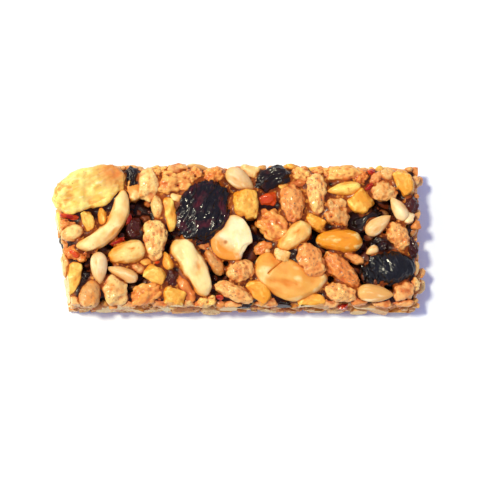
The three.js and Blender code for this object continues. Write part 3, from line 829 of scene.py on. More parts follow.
# %% Lay the large pieces
large = {
    "banana_chip": ("banana_slice", "chip", (-42.6, 13.1, 13), (22, 12.8, 5.4), 20, 16, 0, 0.3),
    "cranberry_large": ("large_dried_fruit", "large_fruit", (-10.4, 6.1, 13), (20.6, 16.2, 8), 63, 0, 0, 0.2),
    "crisp_on_cashew": ("grain_crisps", "crisp_0", (20.2, -7.8, 14.6), (10.6, 7.6, 3.8), 118, 0, 4, 0.8),
    "cashew_large": ("cashews", "whole_cashew", (14.4, -12.5, 12.4), (21.4, 13.2, 5.4), -8, 0, 0, 0.85),
    "blueberry_right": ("dried_berry", "berry", (42.8, -9.9, 12.6), (15.6, 10.2, 7.2), 8, 0, 0, 0.2),
    "cashew_long": ("cashews", "long_cashew", (-13.4, -9.3, 12.9), (18.4, 7.6, 6.2), 119, 0, 0, 0.1),
    "peanut_orange": ("peanuts", "peanut", (28.6, -1.9, 13.2), (13.4, 6.9, 6.2), 176, 0, 0, 1),
    "split_nut": ("split_nut_half", "half_nut", (-2.1, -1.1, 12.8), (13.2, 11.8, 4.6), 260, 6, 0, 0),
    "peanut_middle": ("peanuts", "peanut", (15.6, -0.9, 13.4), (11.7, 6.6, 5.8), 220, 0, 0, 0.3),
    "cashew_crescent": ("cashews", "half_cashew", (-37.3, 2.5, 13.2), (21.6, 7.6, 4.8), 50, 0, 0, 0.05),
    "nut_cube": ("chopped_nuts", "nut_block", (1.8, 8.8, 13), (9.2, 7.4, 6), 88, 8, 0, 0.5),
    "seed_top": ("sunflower_seeds", "seed_plump", (0.7, 15.3, 13.8), (10.3, 5.5, 3.6), -38, 0, -8, 0.3),
    "seed_right": ("sunflower_seeds", "seed_plump", (39.9, 2.7, 14.2), (8.8, 4.6, 3.4), 36, 0, 6, 0.45),
    "seed_upper_right": ("sunflower_seeds", "seed_slim", (45.9, 7.4, 13.8), (8, 4.3, 3.4), 122, 0, 0, 0.1),
    "seed_left": ("sunflower_seeds", "seed_plump", (-40.2, -10, 13.7), (9.5, 4.9, 3.8), -88, 0, -6, 0),
    "seed_lower_left": ("sunflower_seeds", "seed_slim", (-33.6, -11.3, 13.2), (9.4, 4, 3.2), 158, 0, 0, 0.6),
    "seed_low_right": ("sunflower_seeds", "seed_plump", (38.7, -17, 13.2), (10.8, 5.2, 3.6), -5, 0, 0, 1),
    "raisin_top": ("raisins", "raisin_0", (9.6, 16.2, 12.8), (12, 6.6, 6), 26, 0, 0, 0),
    "crisp_middle": ("grain_crisps", "crisp_1", (15.5, 8.8, 13.3), (11.8, 7.6, 5.2), -88, 0, 0, 0.8),
    "crisp_tall": ("grain_crisps", "crisp_drop", (22.5, 11.7, 13), (12.2, 6.4, 5), -86, 0, 0, 0.1),
    "crisp_left": ("grain_crisps", "crisp_drop", (-24.1, -1.9, 13.2), (12, 7.4, 5.2), -90, 0, 0, 0),
    "crisp_round": ("grain_crisps", "crisp_2", (0.1, -10.6, 13), (8.6, 7.1, 4.8), 10, 0, 0, 0.5),
    "crisp_low": ("grain_crisps", "crisp_0", (-1.9, -16.6, 13), (12, 4.9, 4.2), -24, 0, 0, 0.4),
    "crisp_long": ("grain_crisps", "crisp_3", (29, -10.3, 13.2), (13.4, 6.3, 5), -41, 0, 0, 1),
    "crisp_square": ("grain_crisps", "crisp_2", (28.7, -16.7, 12.8), (9.8, 6.2, 5), -15, -8, 0, 0.4),
    "crisp_right": ("grain_crisps", "crisp_2", (45.6, -0.4, 13.2), (9, 6.4, 4.8), -65, 0, 0, 0.6),
    "cluster_middle": ("grain_clusters", "cluster_0", (9.9, 2.6, 12.6), (11.4, 8.6, 5.4), -45, 0, 0, 0.6),
    "cluster_upper_left": ("grain_clusters", "cluster_1", (-18.4, 15.1, 13), (11.4, 8, 5), 8, 0, 0, 0.3),
    "cluster_top": ("grain_clusters", "cluster_2", (-7.2, 16.8, 12.4), (7.4, 5.4, 4.8), 20, 0, 0, 0.8),
    "cluster_upper_right": ("grain_clusters", "crisp_0", (30.4, 17.7, 12.4), (11.6, 5.2, 4.4), 4, 0, 0, 0.3),
    "cluster_lower_left": ("grain_clusters", "cluster_2", (-26.6, -16.9, 12.4), (10.2, 6.4, 4.8),
                           18, 0, 0, 0.7),
    "peanut_left": ("peanuts", "peanut", (-32.1, -5.4, 13), (11.2, 6.7, 5.8), 194, 0, 0, 0.1),
    "puff_lower_left": ("puffed_grains", "puff_0", (-35.8, -16.1, 12.8), (9.1, 7.9, 4.8), 105, 0, 0, 0.35),
    "puff_corner": ("puffed_grains", "peanut", (-42.7, -17.2, 12.8), (8.4, 6.2, 5), 72, 0, 0, 0.9),
    "puff_grey": ("puffed_grains", "cluster_1", (28.1, 6.4, 13), (9.2, 7.9, 5.4), 98, 0, 0, 0.9),
    "puff_upper_left": ("puffed_grains", "puff_0", (-25.7, 14.3, 12.9), (10, 6.8, 5), 82, 0, 0, 0),
    "puff_column": ("puffed_grains", "puff_1", (-23.3, 8, 12.6), (8, 3.8, 4.4), 96, 0, 0, 0.4),
    "kernel_right": ("yellow_kernels", "seed_slim", (30.3, 13.1, 13.6), (10, 4.1, 3.4), 188, 0, 0, 0),
    "kernel_crescent": ("yellow_kernels", "long_cashew", (-19.7, 5.9, 12.8), (10.2, 3.9, 4), 98, 0, 0, 0.7),
    "kernel_wedge": ("yellow_kernels", "nut_wedge", (-24.1, -11.6, 12.8), (6.8, 4.9, 4.4), -28, 18, 0, 0.6),
    "dice_right": ("chopped_nuts", "nut_chip", (34.8, 9.3, 12.8), (7.2, 6.6, 5.2), 42, 6, 0, 0.8),
    "dice_low": ("chopped_nuts", "nut_chip", (-19.1, -18, 12.8), (6.8, 5.1, 4.6), -24, -12, 0, 0.65),
    "flake_right": ("puffed_grains", "crisp_1", (42.1, 12.6, 13), (8, 6.2, 3.8), -8, 0, 0, 0.6),
    "wedge_corner": ("chopped_nuts", "nut_wedge", (47.8, 15, 12.8), (8.2, 5.4, 5), -64, 0, 0, 0.8),
    "raisin_right": ("raisins", "raisin_1", (36.6, 4.4, 11.2), (11.4, 6.6, 4.6), 28, 0, 0, 0.1),
    "raisin_upper_left": ("raisins", "raisin_2", (-30.5, 16.3, 11.8), (7.4, 5.2, 4.8), 84, 0, 0, 0),
}
stands_for = {kind: [] for kind in finishes}
astray = 0
for name, (kind, form, at, size, turn, lean, pitch, tint) in large.items():
    lay(kind, form, at, size, turn, lean, pitch, tint)
    stands_for[kind].append(name)
    bottom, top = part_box(name)
    astray = max(astray, *abs((np.array(bottom) + np.array(top))[:2] / 2 / MM - at[:2]))
print(f"{len(large)} large pieces; the middle of the CAD's is never more than {astray:.1f} mm away")

# %% [markdown]
# ### Smaller pieces that are seen
# Between the large ones lie chips, seeds, bits of red fruit and fringes of grain that give the bar its
# character. They follow in the same form, with less said about each: its kind and form, the place of its
# middle, its size, its heading and its tint.

# %% Lay the smaller pieces on top
small = [
    ("red_fruit", "fruit_bit", (8.3, 10.4, 12), (6.4, 5.2, 4.2), 20, 0.92),
    ("puffed_grains", "puff_1", (-7.3, -8, 12.2), (8.6, 4.6, 4), -54, 1),
    ("puffed_grains", "puff_1", (-47.2, 0.5, 12.2), (7.2, 5, 4), 18, 0.1),
    ("yellow_kernels", "nut_wedge", (-43, 3.6, 12.6), (6.3, 3.6, 3.6), -72, 0.5),
    ("yellow_kernels", "seed_slim", (-38.9, 5.2, 12.4), (6, 3, 3), 100, 1),
    ("yellow_kernels", "seed_slim", (-20.7, -7.6, 12.6), (5.6, 3.4, 3), 105, 0.9),
    ("crisp_bits", "small_crisp_1", (-15.3, -15.5, 12.2), (8.6, 4.4, 3.6), -66, 1),
    ("grain_clusters", "cluster_1", (-9.9, -18.9, 11.8), (6.6, 4, 4), 8, 0),
    ("grain_clusters", "cluster_2", (18.1, 17.2, 12.6), (6.3, 4.4, 4), -20, 0),
    ("chopped_nuts", "nut_chip", (21.9, 3.6, 12.2), (6.3, 4, 4), -30, 0.8),
    ("chopped_nuts", "nut_wedge", (5.6, -16.2, 12), (8.4, 5.8, 4), -48, 0.9),
    ("raisins", "raisin_1", (49.3, 8.9, 12.2), (6, 5.4, 4.6), 40, 1),
    ("raisins", "raisin_2", (-19.7, -12.7, 11.6), (6.6, 5.2, 4.4), 70, 1),
    ("crisp_bits", "small_crisp_1", (46.8, -16.2, 12), (6.8, 5.6, 4.6), 20, 0.3),
    ("cashews", "nut_chip", (-29.7, 12.6, 11.6), (6.4, 5.2, 4.6), 80, 0.7),
    ("grain_clusters", "cluster_1", (-22.6, 18, 12.2), (6.4, 4.4, 4.4), 10, 0.2),
    ("crisp_bits", "small_crisp_1", (-17.8, 18.9, 11.8), (7.4, 3.6, 4.4), 4, 0.2),
    ("puffed_grains", "puff_1", (-49.6, -7.4, 8.8), (8.4, 4.4, 6), 96, 0.1),
    ("puffed_grains", "puff_1", (-50.2, 2.6, 8.4), (7, 4.6, 5.4), 100, 0.1),
    ("chopped_nuts", "nut_chip", (-48.8, -15.4, 7.4), (7.4, 4, 5), 96, 0.3),
    ("crisp_bits", "small_crisp_2", (-48.2, -19, 7.6), (5, 4, 5), 20, 0),
    ("red_fruit", "fruit_bit", (-48.4, 5.2, 12.2), (6.6, 2, 2.4), -8, 0.2),
    ("grain_clusters", "cluster_1", (-48.8, 2.9, 11.6), (5.6, 3.6, 3.6), -12, 0.6),
    ("red_fruit", "fruit_bit", (-34.7, -2.2, 12.4), (4.8, 2.2, 2.4), 25, 0.1),
    ("chopped_nuts", "nut_chip", (-41.3, 0.4, 11.4), (4.4, 3, 3), 45, 1),
    ("red_fruit", "fruit_bit", (-31.6, 4.3, 12.8), (3.4, 2, 2), 80, 0.1),
    ("raisins", "raisin_0", (-29.9, 1.8, 11.2), (7, 5, 4), 110, 1),
    ("grain_clusters", "cluster_1", (-46.4, -5.4, 12), (7.2, 5, 3.6), -24, 1),
    ("red_fruit", "fruit_bit", (-47.2, -5.6, 13.2), (3.6, 2, 2), -30, 0.9),
    ("chopped_nuts", "long_cashew", (-47.2, -12.4, 11.4), (10.2, 4.4, 4), 76, 0.55),
    ("crisp_bits", "small_crisp_1", (-46.6, -18.8, 11.4), (4.4, 3, 3.4), 0, 0),
    ("raisins", "raisin_1", (-43.6, -11.7, 11.8), (3.4, 3, 3), 0, 0),
    ("puffed_grains", "puff_2", (-29, -9.6, 12.2), (4.8, 3, 3), -20, 0.8),
    ("yellow_kernels", "nut_chip", (-26.7, -7.6, 12.2), (4, 2.8, 2.6), 10, 0.2),
    ("red_fruit", "fruit_bit", (-23.9, -8.4, 12.2), (3, 2.4, 2.4), 30, 1),
    ("crisp_bits", "small_crisp_2", (-28, -18.4, 11.6), (5, 3.4, 3.4), 10, 0.8),
    ("red_fruit", "fruit_bit", (-5.9, -17.9, 12.2), (2.4, 2, 2), 0, 0),
    ("crisp_bits", "small_crisp_1", (-10.4, -2.9, 11.8), (5.4, 3.2, 3), -20, 0.6),
    ("grain_clusters", "cluster_1", (-13.2, 17, 12.6), (6.6, 5, 4.6), 40, 0.5),
    ("cashews", "plain_chip", (-18, 10.4, 13.4), (3.6, 2.3, 2.4), -20, 0),
    ("grain_clusters", "cluster_2", (-14.8, 13.2, 12), (6, 4, 4), 60, 0.2),
    ("cashews", "nut_chip", (3.5, 18.2, 12.4), (5.8, 3.8, 3.6), -15, 0.3),
    ("chopped_nuts", "nut_wedge", (12.6, 14.2, 13), (3.6, 2.6, 2.4), -40, 0.1),
    ("crisp_bits", "small_crisp_0", (17, 14.7, 12.4), (6.4, 3, 3), 15, 1),
    ("grain_clusters", "cluster_1", (24, 18.2, 12), (6, 4, 4), 0, 0.4),
    ("grain_clusters", "cluster_2", (35, 16.6, 12.2), (6, 4.4, 4), 30, 0.9),
    ("red_fruit", "fruit_bit", (38.4, 18.2, 12.8), (2.4, 2.2, 2), 0, 0.1),
    ("red_fruit", "fruit_bit", (37.6, 13.7, 13), (3.4, 1.9, 2), 40, 0.1),
    ("puffed_grains", "puff_1", (43.4, 17.4, 12.4), (5.4, 4.2, 3.8), 0, 0.7),
    ("crisp_bits", "small_crisp_2", (39.8, 16.4, 12), (5, 3.6, 3.4), 60, 0.7),
    ("crisp_bits", "small_crisp_1", (51.2, 16.2, 10.6), (3.4, 2.8, 2.8), 0, 0),
    ("sunflower_seeds", "plain_chip", (48.8, 4.7, 13.4), (3.6, 2.9, 2.6), 70, 0),
    ("crisp_bits", "small_crisp_3", (51, 3, 11.8), (3.4, 3, 3), 0, 0.9),
    ("raisins", "raisin_2", (49.4, -3.4, 11.8), (7, 4.4, 4.4), -70, 0.8),
    ("raisins", "raisin_0", (40.3, -2.9, 11.2), (7, 5, 4), 30, 0),
    ("sunflower_seeds", "seed_plump", (38.1, -4.6, 12.6), (4, 2.8, 2.6), 205, 0.4),
    ("crisp_bits", "small_crisp_0", (32.6, -6.6, 12.4), (7, 3, 3), -24, 0.6),
    ("crisp_bits", "small_crisp_2", (6.9, -3.6, 11.4), (6, 4, 3.4), 30, 1),
    ("sunflower_seeds", "seed_plump", (8.3, -4.8, 12), (2.4, 2, 2), 0, 0.1),
    ("cashews", "nut_chip", (11.9, -6.2, 13.8), (4.9, 3.6, 3), -20, 0.2),
    ("crisp_bits", "small_crisp_3", (7.6, -19, 10.6), (7, 3.4, 4), 0, 0.4),
    ("raisins", "raisin_1", (1.3, -19.5, 10), (5, 3.4, 3.4), 0, 0.2),
    ("raisins", "raisin_2", (12.6, -19.6, 10), (5, 3.4, 3.4), 10, 0.1),
    ("chopped_nuts", "nut_wedge", (20.6, -18.6, 11.2), (8.6, 4, 4), 4, 0.6),
    ("crisp_bits", "small_crisp_2", (47, -19, 10.4), (6.3, 3, 3.6), 0, 0.4),
    ("puffed_grains", "puff_0", (50.3, -14, 11.4), (4, 3.4, 3.6), 90, 0.2),
    ("puffed_grains", "puff_2", (50.4, -9.4, 11), (4.4, 3, 3.6), 90, 0.4),
    ("crisp_bits", "small_crisp_1", (34.4, -18.6, 11.4), (5.6, 3.4, 3.4), 10, 0.9),
    ("crisp_bits", "small_crisp_3", (41, -19.2, 10.6), (6, 3.4, 3.6), -6, 0.5),
    ("red_fruit", "fruit_bit", (32.6, -17.6, 12.6), (3, 2, 2), 30, 0.6),
    ("crisp_bits", "small_crisp_0", (26, -19.2, 10.8), (5, 3.4, 3.6), 0, 0.2),
    # A dark raisin lies low under the banana's edge, put there to paint the shadow that the banana casts.
    ("raisins", "raisin_1", (-38, 8, 10), (9, 4.6, 3.6), 24, 0),
    ("crisp_bits", "small_crisp_1", (-24.6, 10.8, 10.6), (6, 4, 3.6), 40, 1),
    ("puffed_grains", "puff_1", (-15, -19, 11.2), (5, 3.6, 3.6), 0, 0.3),
    ("crisp_bits", "small_crisp_3", (-2, -19.4, 10.8), (5.6, 3.2, 3.6), 0, 0.4),
    ("crisp_bits", "small_crisp_0", (-22.6, -19.2, 10.6), (5.6, 3.4, 3.6), 0, 0.6),
    ("crisp_bits", "small_crisp_2", (-32, -19.3, 10.6), (5.6, 3.4, 3.6), 0, 0.3),
]
for kind, form, at, size, turn, tint in small:
    lay(kind, form, at, size, turn, tint=tint)
print(len(small), "smaller pieces on top")

# %% [markdown]
# ### Packing the rest
# What is under and between is packed as a jar is filled: big bits first, then smaller ones where there is
# still room. Each try picks a spot and keeps it if a ball of that size fits between those already there.
# The middle of the bar is never seen, so only a shell is packed: WALL deep at the sides, and above ROOF and
# below BED. Within RIM of the sides the bits may lie as high as TOP_AT_THE_RIM, and only up to TOP further
# in, where the large pieces lie. Bits press into each other a little, which is what CLOSENESS allows. The
# gaps on top are kept free, because the bar is dark there; each has the place of its middle and its radius.
#
# The recipe gives for each width the kinds that are packed: kind, form, how many forms it comes in (0 for
# one), its three sizes as shares of the width, and how often it is taken.

# %% The bar's four cut sides
corners = [(-40.5, 20.2), (-51.2, 9), (-50.2, -2), (-47.6, -20.4), (51.7, -20.4), (52.5, 20.2)]
sides = []
for first, second in zip(corners, corners[1:] + corners[:1]):
    along = np.subtract(second, first) / np.hypot(*np.subtract(second, first))
    sides.append((np.array([*first, 0.0]), np.array([along[1], -along[0], 0.0])))


def depth_in(points):
    """How far points lie inside the nearest side, in millimetres; negative outside."""
    return np.min([(through - points) @ away for through, away in sides], axis=0)


print("the middle of the bar is", round(float(depth_in(np.zeros((1, 3)))[0]), 1), "mm from its nearest side")

# %% Pack the shell
HALF_LENGTH, HALF_WIDTH = 53, 21
TOP, TOP_AT_THE_RIM, RIM = 10.2, 11.8, 2.6
WALL, ROOF, BED = 4, 7.5, 2.5
# Shares of a bit's radius: how high over the tray, under the top and inside the sides its middle stays.
OVER_TRAY, UNDER_TOP, IN_FROM_SIDE = 0.4, 0.75, 0.3
CLOSENESS = 0.8
SMALLEST, LARGEST = 0.85, 1.1
LEAN, PITCH = 25, 12
gaps = [(-27, 8.6, 2.8), (-28, -1, 1.6), (-35.5, 9.3, 2.4), (-41, 7.4, 2.2), (-45.4, 6.2, 1.6),
        (-31, 9.6, 1.8), (-20, 0.6, 1.8), (-5.9, -12.4, 1.8), (-8.2, -9.4, 1.4), (-40, -18, 1.6),
        (-28, -14, 1.2), (3.2, 3.6, 1.6), (14.7, -6.6, 1.7), (5.8, -6.3, 1.6), (21.4, -1.4, 1.4),
        (21.8, -4.6, 1.2), (32.8, 4.6, 1.6), (36, -1.2, 1.6), (41.6, -3.2, 1.6), (36, -13.4, 1.3),
        (46, 11.2, 1.4), (-16.8, -5, 1.2), (8.4, -18.2, 1)]
kept_free = np.array([(x, y, z, radius) for x, y, radius in gaps for z in (10.5, 12.5, 14.5)])
recipe = {
    8: [("grain_crisps", "plain_crisp", 4, (1.3, 0.9, 0.75), 5),
        ("raisins", "plain_raisin", 0, (1.3, 0.85, 0.75), 0.7),
        ("peanuts", "peanut", 0, (1.35, 0.75, 0.7), 2),
        ("chopped_nuts", "plain_wedge", 0, (1, 0.8, 0.65), 1)],
    6: [("crisp_bits", "plain_bit", 4, (1.2, 0.9, 0.75), 6),
        ("puffed_grains", "plain_puff", 3, (1.2, 0.9, 0.8), 2),
        ("sunflower_seeds", "seed_plump", 0, (1.5, 0.75, 0.6), 2),
        ("grain_clusters", "plain_cluster", 3, (1.1, 1, 0.8), 2),
        ("chopped_nuts", "plain_wedge", 0, (1.1, 0.85, 0.7), 1)],
    4.6: [("crisp_bits", "plain_bit", 4, (1.2, 0.95, 0.8), 7),
          ("sunflower_seeds", "seed_slim", 0, (1.9, 0.9, 0.7), 2),
          ("chopped_nuts", "plain_chip", 0, (1.2, 0.9, 0.8), 2),
          ("red_fruit", "fruit_bit", 0, (1.1, 0.8, 0.7), 1),
          ("yellow_kernels", "plain_wedge", 0, (1.2, 0.9, 0.7), 1)],
    3.4: [("crisp_bits", "plain_bit", 4, (1.2, 0.95, 0.8), 8),
          ("red_fruit", "fruit_bit", 0, (1, 0.8, 0.7), 1),
          ("crumbs", "crumb", 3, (1.1, 0.9, 0.8), 4)],
    2.4: [("crumbs", "crumb", 3, (1.1, 0.9, 0.8), 1)],
}


def packed(width, tries):
    """Lays bits about as wide as the width wherever one still fits, and returns how many."""
    radius = width / 2
    start_corner = (-HALF_LENGTH, -HALF_WIDTH, OVER_TRAY * radius)
    far_corner = (HALF_LENGTH, HALF_WIDTH, TOP_AT_THE_RIM - UNDER_TOP * radius)
    spots = chance.uniform(start_corner, far_corner, (tries, 3))
    inside, height = depth_in(spots), spots[:, 2]
    shell = (inside > IN_FROM_SIDE * radius) & ((inside < WALL) | (height > ROOF) | (height < BED))
    shell &= (inside < RIM) | (height < TOP - UNDER_TOP * radius)
    shares = np.array([row[4] for row in recipe[width]], float)
    laid = 0
    for spot in spots[shell]:
        filled = np.vstack([taken, kept_free])
        away = np.linalg.norm(filled[:, :3] - spot, axis=1)
        if (away < CLOSENESS * (filled[:, 3] + radius)).any():
            continue
        kind, form, forms, factors, _ = recipe[width][chance.choice(len(shares), p=shares / shares.sum())]
        if forms:
            form = f"{form}_{chance.integers(forms)}"
        size = np.array(factors) * width * chance.uniform(SMALLEST, LARGEST, 3)
        lay(kind, form, spot, size, chance.uniform(0, 360), chance.normal(0, LEAN), chance.normal(0, PITCH),
            chance.uniform())
        laid += 1
    return laid


for width, tries in ((8, 1800), (6, 4200), (4.6, 7200), (3.4, 11000), (2.4, 11000)):
    print(f"{packed(width, tries)} bits about {width} mm wide")

# %% [markdown]
# ### The knife and the tray
# The tray presses the underside flat, so what would stick out below is pushed up to it. The knife goes
# through whatever lies across its path. Real cuts aren't one clean plane: each piece gives a little and
# breaks where it likes, so each has its own plane, a little in or out and a little askew. Bisect cuts,
# drops what is outside and fills the cut, and the new face gets the second finish. What barely stands out
# is left whole, and what is barely inside is dropped. The banana was put on the finished bar and hangs over
# its corner, so it isn't cut.

# %% Press and cut
def slice_off(piece, through, away):
    """Cuts a piece at a plane, in metres, and gives the new face the finish of the inside."""
    with edit_mode(piece):
        bpy.ops.mesh.bisect(plane_co=through, plane_no=away, use_fill=True, clear_outer=True)
    mesh = piece.data
    fresh = np.zeros(len(mesh.polygons), bool)
    mesh.polygons.foreach_get("select", fresh)
    inner = np.zeros(len(mesh.polygons), np.int32)
    mesh.polygons.foreach_get("material_index", inner)
    inner[fresh] = 1
    mesh.polygons.foreach_set("material_index", inner)


TRAY_PLAY = 0.12  # how uneven the tray leaves the underside
GIVE = (-0.3, 0.6)  # how far inside or outside the knife's path a piece breaks
SKEW = 0.1  # how far its plane leans away from that path
BARELY_OUT, BARELY_IN = 0.2, 0.4
cut_count = 0
for kind, pieces in heap.items():
    if kind == "banana_slice":
        continue
    for piece in list(pieces):
        rows = read(piece)
        rows[:, 2] = np.maximum(rows[:, 2], chance.uniform(0, TRAY_PLAY) * MM)
        place(piece, rows)
        for through, away in sides:
            give = chance.uniform(*GIVE)
            askew = Vector(away + chance.normal(0, SKEW, 3)).normalized()
            plane = (through + away * give) * MM
            nearest = plane + ((rows.mean(0) - plane) - ((rows.mean(0) - plane) @ away) * away)
            beyond = (rows - nearest) @ np.array(askew)
            if beyond.max() < BARELY_OUT * MM:
                continue
            if beyond.min() > -BARELY_IN * MM:
                pieces.remove(piece)
                bpy.data.objects.remove(piece)
                break
            slice_off(piece, Vector(nearest), askew)
            rows = read(piece)
            cut_count += 1
print(cut_count, "cuts")

# %% [markdown]
# A few bits got stuck to the right side after the bar was cut, so they stand out beyond it.

# %% Stick on the last bits
clinging = [
    ("puffed_grains", "puff_1", (52.9, -13.7, 5), (4.6, 3.4, 3.2), 70, 0.4),
    ("crisp_bits", "small_crisp_2", (52.6, -10.3, 7.6), (3.4, 2.8, 3), 60, 0.3),
    ("crisp_bits", "small_crisp_1", (52.5, 16.3, 8), (3.6, 3, 3), 30, 0.1),
]
for kind, form, at, size, turn, tint in clinging:
    lay(kind, form, at, size, turn, tint=tint)
print(len(clinging), "bits cling to the side")

# %% [markdown]
# ## The syrup
# Boiled syrup wets everything, creeps into narrow gaps and draws back from wide ones. That is what swelling
# a shape and then shrinking it again does: gaps narrower than the swelling close and stay closed. So a copy
# of the whole heap is remeshed into one skin together with a block for the middle of the bar, swollen,
# remeshed, and shrunk a little further than it was swollen, so that the pieces stand out of it and the
# syrup forms a rounded web between them.

# %% Pour the syrup
CORE_BLOCK, CORE_MIDDLE = (110, 44, 7.6), 5
CORE_INSET = 2.9  # how far inside the cut sides the block for the middle ends
SKIN_VOXEL, WEB_VOXEL = 0.6 * MM, 0.62 * MM
SWOLLEN, SHRUNK = 0.5 * MM, 0.95 * MM
bpy.ops.object.select_all(action="DESELECT")
copies = []
for pieces in heap.values():
    for piece in pieces:
        copy = piece.copy()
        copy.data = piece.data.copy()
        bpy.context.scene.collection.objects.link(copy)
        copy.data.materials.clear()
        copies.append(copy)
bpy.ops.mesh.primitive_cube_add(size=1 * MM, location=(0, 0, CORE_MIDDLE * MM))
core = bpy.context.object
with edit_mode(core):
    bpy.ops.transform.resize(value=CORE_BLOCK, center_override=core.location)
    for through, away in sides:
        bpy.ops.mesh.select_all(action="SELECT")
        inset = Vector((through - CORE_INSET * away) * MM)
        bpy.ops.mesh.bisect(plane_co=inset, plane_no=Vector(away), use_fill=True, clear_outer=True)
only(core)
for copy in copies:
    copy.select_set(True)
bpy.ops.object.join()
syrup = core
syrup.name = "syrup"
bpy.ops.object.transform_apply(location=True, rotation=True, scale=True)
finish_with(syrup, "REMESH", mode="VOXEL", voxel_size=SKIN_VOXEL)
finish_with(syrup, "DISPLACE", strength=SWOLLEN, mid_level=0)
finish_with(syrup, "REMESH", mode="VOXEL", voxel_size=SKIN_VOXEL)
finish_with(syrup, "SMOOTH", factor=0.5, iterations=4)
finish_with(syrup, "DISPLACE", strength=-SHRUNK, mid_level=0)
finish_with(syrup, "REMESH", mode="VOXEL", voxel_size=WEB_VOXEL)
finish_with(syrup, "SMOOTH", factor=0.5, iterations=2)
print("syrup:", 2 * len(syrup.data.polygons), "triangles")

# %% [markdown]
# ## Joining, and noting painted shade and nearness to the syrup
# The scattered pieces of a kind become one mesh, which keeps the list of pieces short. The notes of depth
# and of nearness to the syrup come last, because they depend on where a spot ended up. The depth note is
# painted shade: nought down to a millimetre under the open faces and one from five millimetres on. The
# syrup's surface dives under every piece that it leaves showing, so the nearness note falls from one where
# it meets the piece to nought where the piece stands clear of it; it paints the syrup that climbs each piece
# and, with it, warm light thrown back from the neighbours. The syrup has notes of its own: it gets painted
# shade in the gaps as well, and `tint` marks where the cut sides are crusted with crumbs.

# %% Helpers for joining and noting
OPEN_TOP, OPEN_BOTTOM = 14, -0.5
SUNK_FROM, SUNK_TO = 1, 5
CLEAR_OF_SYRUP = 0.8 * MM


def join(pieces, name):
    """Makes one mesh of several pieces."""
    only(pieces[0])
    for piece in pieces[1:]:
        piece.select_set(True)
    if len(pieces) > 1:
        bpy.ops.object.join()
    pieces[0].name = name
    return pieces[0]


def note_depth_shade(piece):
    """Notes painted shade from how deep each vertex lies in the bar."""
    rows = read(piece) / MM
    inside = np.minimum(depth_in(rows), OPEN_TOP - rows[:, 2])
    inside = np.minimum(inside, rows[:, 2] - OPEN_BOTTOM)
    note(piece, "depth_shade", np.clip((inside - SUNK_FROM) / (SUNK_TO - SUNK_FROM), 0, 1))


def note_nearness_to_syrup(piece):
    """Notes how near the syrup each vertex is."""
    away = np.array([syrup_skin.find_nearest(spot)[3] for spot in read(piece)])
    # This nearness paints the syrup on the piece and warm light thrown back by its neighbours.
    note(piece, "syrup_rim_and_bounce", np.clip(1 - away / CLEAR_OF_SYRUP, 0, 1))


# %% Join each kind
syrup_skin = BVHTree.FromObject(syrup, bpy.context.evaluated_depsgraph_get())
for source in pantry.values():
    bpy.data.objects.remove(source)
total = 0
for kind, pieces in heap.items():
    number = len(pieces)
    piece = join(pieces, kind)
    bpy.ops.object.shade_smooth_by_angle(angle=math.radians(50))
    note_depth_shade(piece)
    note_nearness_to_syrup(piece)
    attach(piece, "root")
    if stands_for[kind]:
        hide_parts(*stands_for[kind])
    piece.data.calc_loop_triangles()
    total += len(piece.data.loop_triangles)
    print(f"{kind}: {number} pieces, {len(piece.data.loop_triangles)} triangles")

# %% Note the syrup's painted shade and crust
GAP_SHADE, GAP_FADES = 0.3, 1.6
CRUST_DEPTH, CRUST_TOP = 1.6, 11.5
note_depth_shade(syrup)
rows = read(syrup) / MM
# In the gaps the syrup gets painted shade too, fading out from each gap's middle.
from_gap = np.min([np.hypot(rows[:, 0] - x, rows[:, 1] - y) / radius for x, y, radius in gaps], axis=0)
note(syrup, "depth_shade", np.maximum(noted(syrup, "depth_shade"), GAP_SHADE * np.clip(GAP_FADES - from_gap, 0, 1)))
note(syrup, "tint", np.clip(CRUST_DEPTH - depth_in(rows), 0, 1) * np.clip(CRUST_TOP - rows[:, 2], 0, 1))
only(syrup)
bpy.ops.object.shade_smooth()
syrup.data.materials.clear()
syrup.data.materials.append(syrup_finish)
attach(syrup, "root")
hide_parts("slab")
print("in all", total + 2 * len(syrup.data.polygons), "triangles")

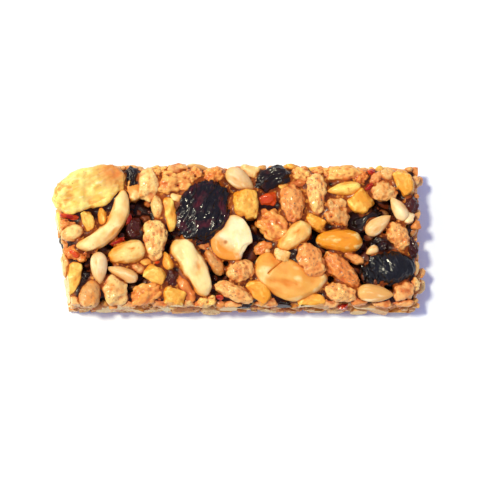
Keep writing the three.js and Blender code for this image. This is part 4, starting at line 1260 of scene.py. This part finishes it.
# %% [markdown]
# ## Light, floor and camera
# A clear sunny look in a studio: one small warm lamp high on the left for crisp shadows, a large soft one
# low on the left that gives every piece a pale side, and a cool sky all round that fills the shadows. The
# lamps are bright enough to bleach the pale floor. The camera looks almost straight down from far off
# through a long lens, so that the sides of the bar hardly spread.

# %% Floor, lamp and sky
bpy.ops.mesh.primitive_plane_add(size=3, location=(0, 0, 0))
floor = bpy.context.object
floor.name = "floor"
pale_floor = start("pale_floor", Roughness=0.9, Base_Color="#ecf5ff", Specular_IOR_Level=0.1)[0]
floor.data.materials.append(pale_floor)

lamps = [("key", 2.8, 7, (1, 0.925, 0.66), (-0.46, 0.1, 1)),
         ("window", 1.1, 30, (1, 0.95, 0.76), (-1, 0.15, 0.75))]
for name, energy, angle, tone, direction in lamps:
    lamp_data = bpy.data.lights.new(name, "SUN")
    lamp_data.energy = energy
    lamp_data.angle = math.radians(angle)
    lamp_data.color = tone
    lamp = bpy.data.objects.new(name, lamp_data)
    lamp.rotation_euler = Vector(direction).to_track_quat("Z", "Y").to_euler()
    bpy.context.scene.collection.objects.link(lamp)

sky = bpy.data.worlds.new("sky")
bpy.context.scene.world = sky
sky.use_nodes = True
backdrop = sky.node_tree.nodes["Background"]
backdrop.inputs["Color"].default_value = (0.74, 0.76, 1.22, 1)
backdrop.inputs["Strength"].default_value = 0.53
print(len(lamps), "lamps and a sky")

# %% Camera
AIM_HEIGHT, AIM_RIGHT, AIM_DOWN = 14, 2.9, 4.6
DISTANCE = 1.2
camera_data = bpy.data.cameras.new("camera")
camera_data.sensor_width = 36
camera_data.lens = 304.5
camera = bpy.data.objects.new("camera", camera_data)
bpy.context.scene.collection.objects.link(camera)
bpy.context.scene.camera = camera
bpy.context.scene.view_settings.view_transform = "Standard"
back = Vector((-0.13, -0.17, 0.977)).normalized()
right = Vector((0.021, 1, 0)).cross(back).normalized()
up = back.cross(right)
camera.rotation_euler = Matrix((right, up, back)).transposed().to_euler()
aim = Vector((0, 0, AIM_HEIGHT * MM)) + right * AIM_RIGHT * MM - up * AIM_DOWN * MM
camera.location = aim + DISTANCE * back
print("the camera looks down at", round(math.degrees(math.asin(back.z)), 1), "degrees")
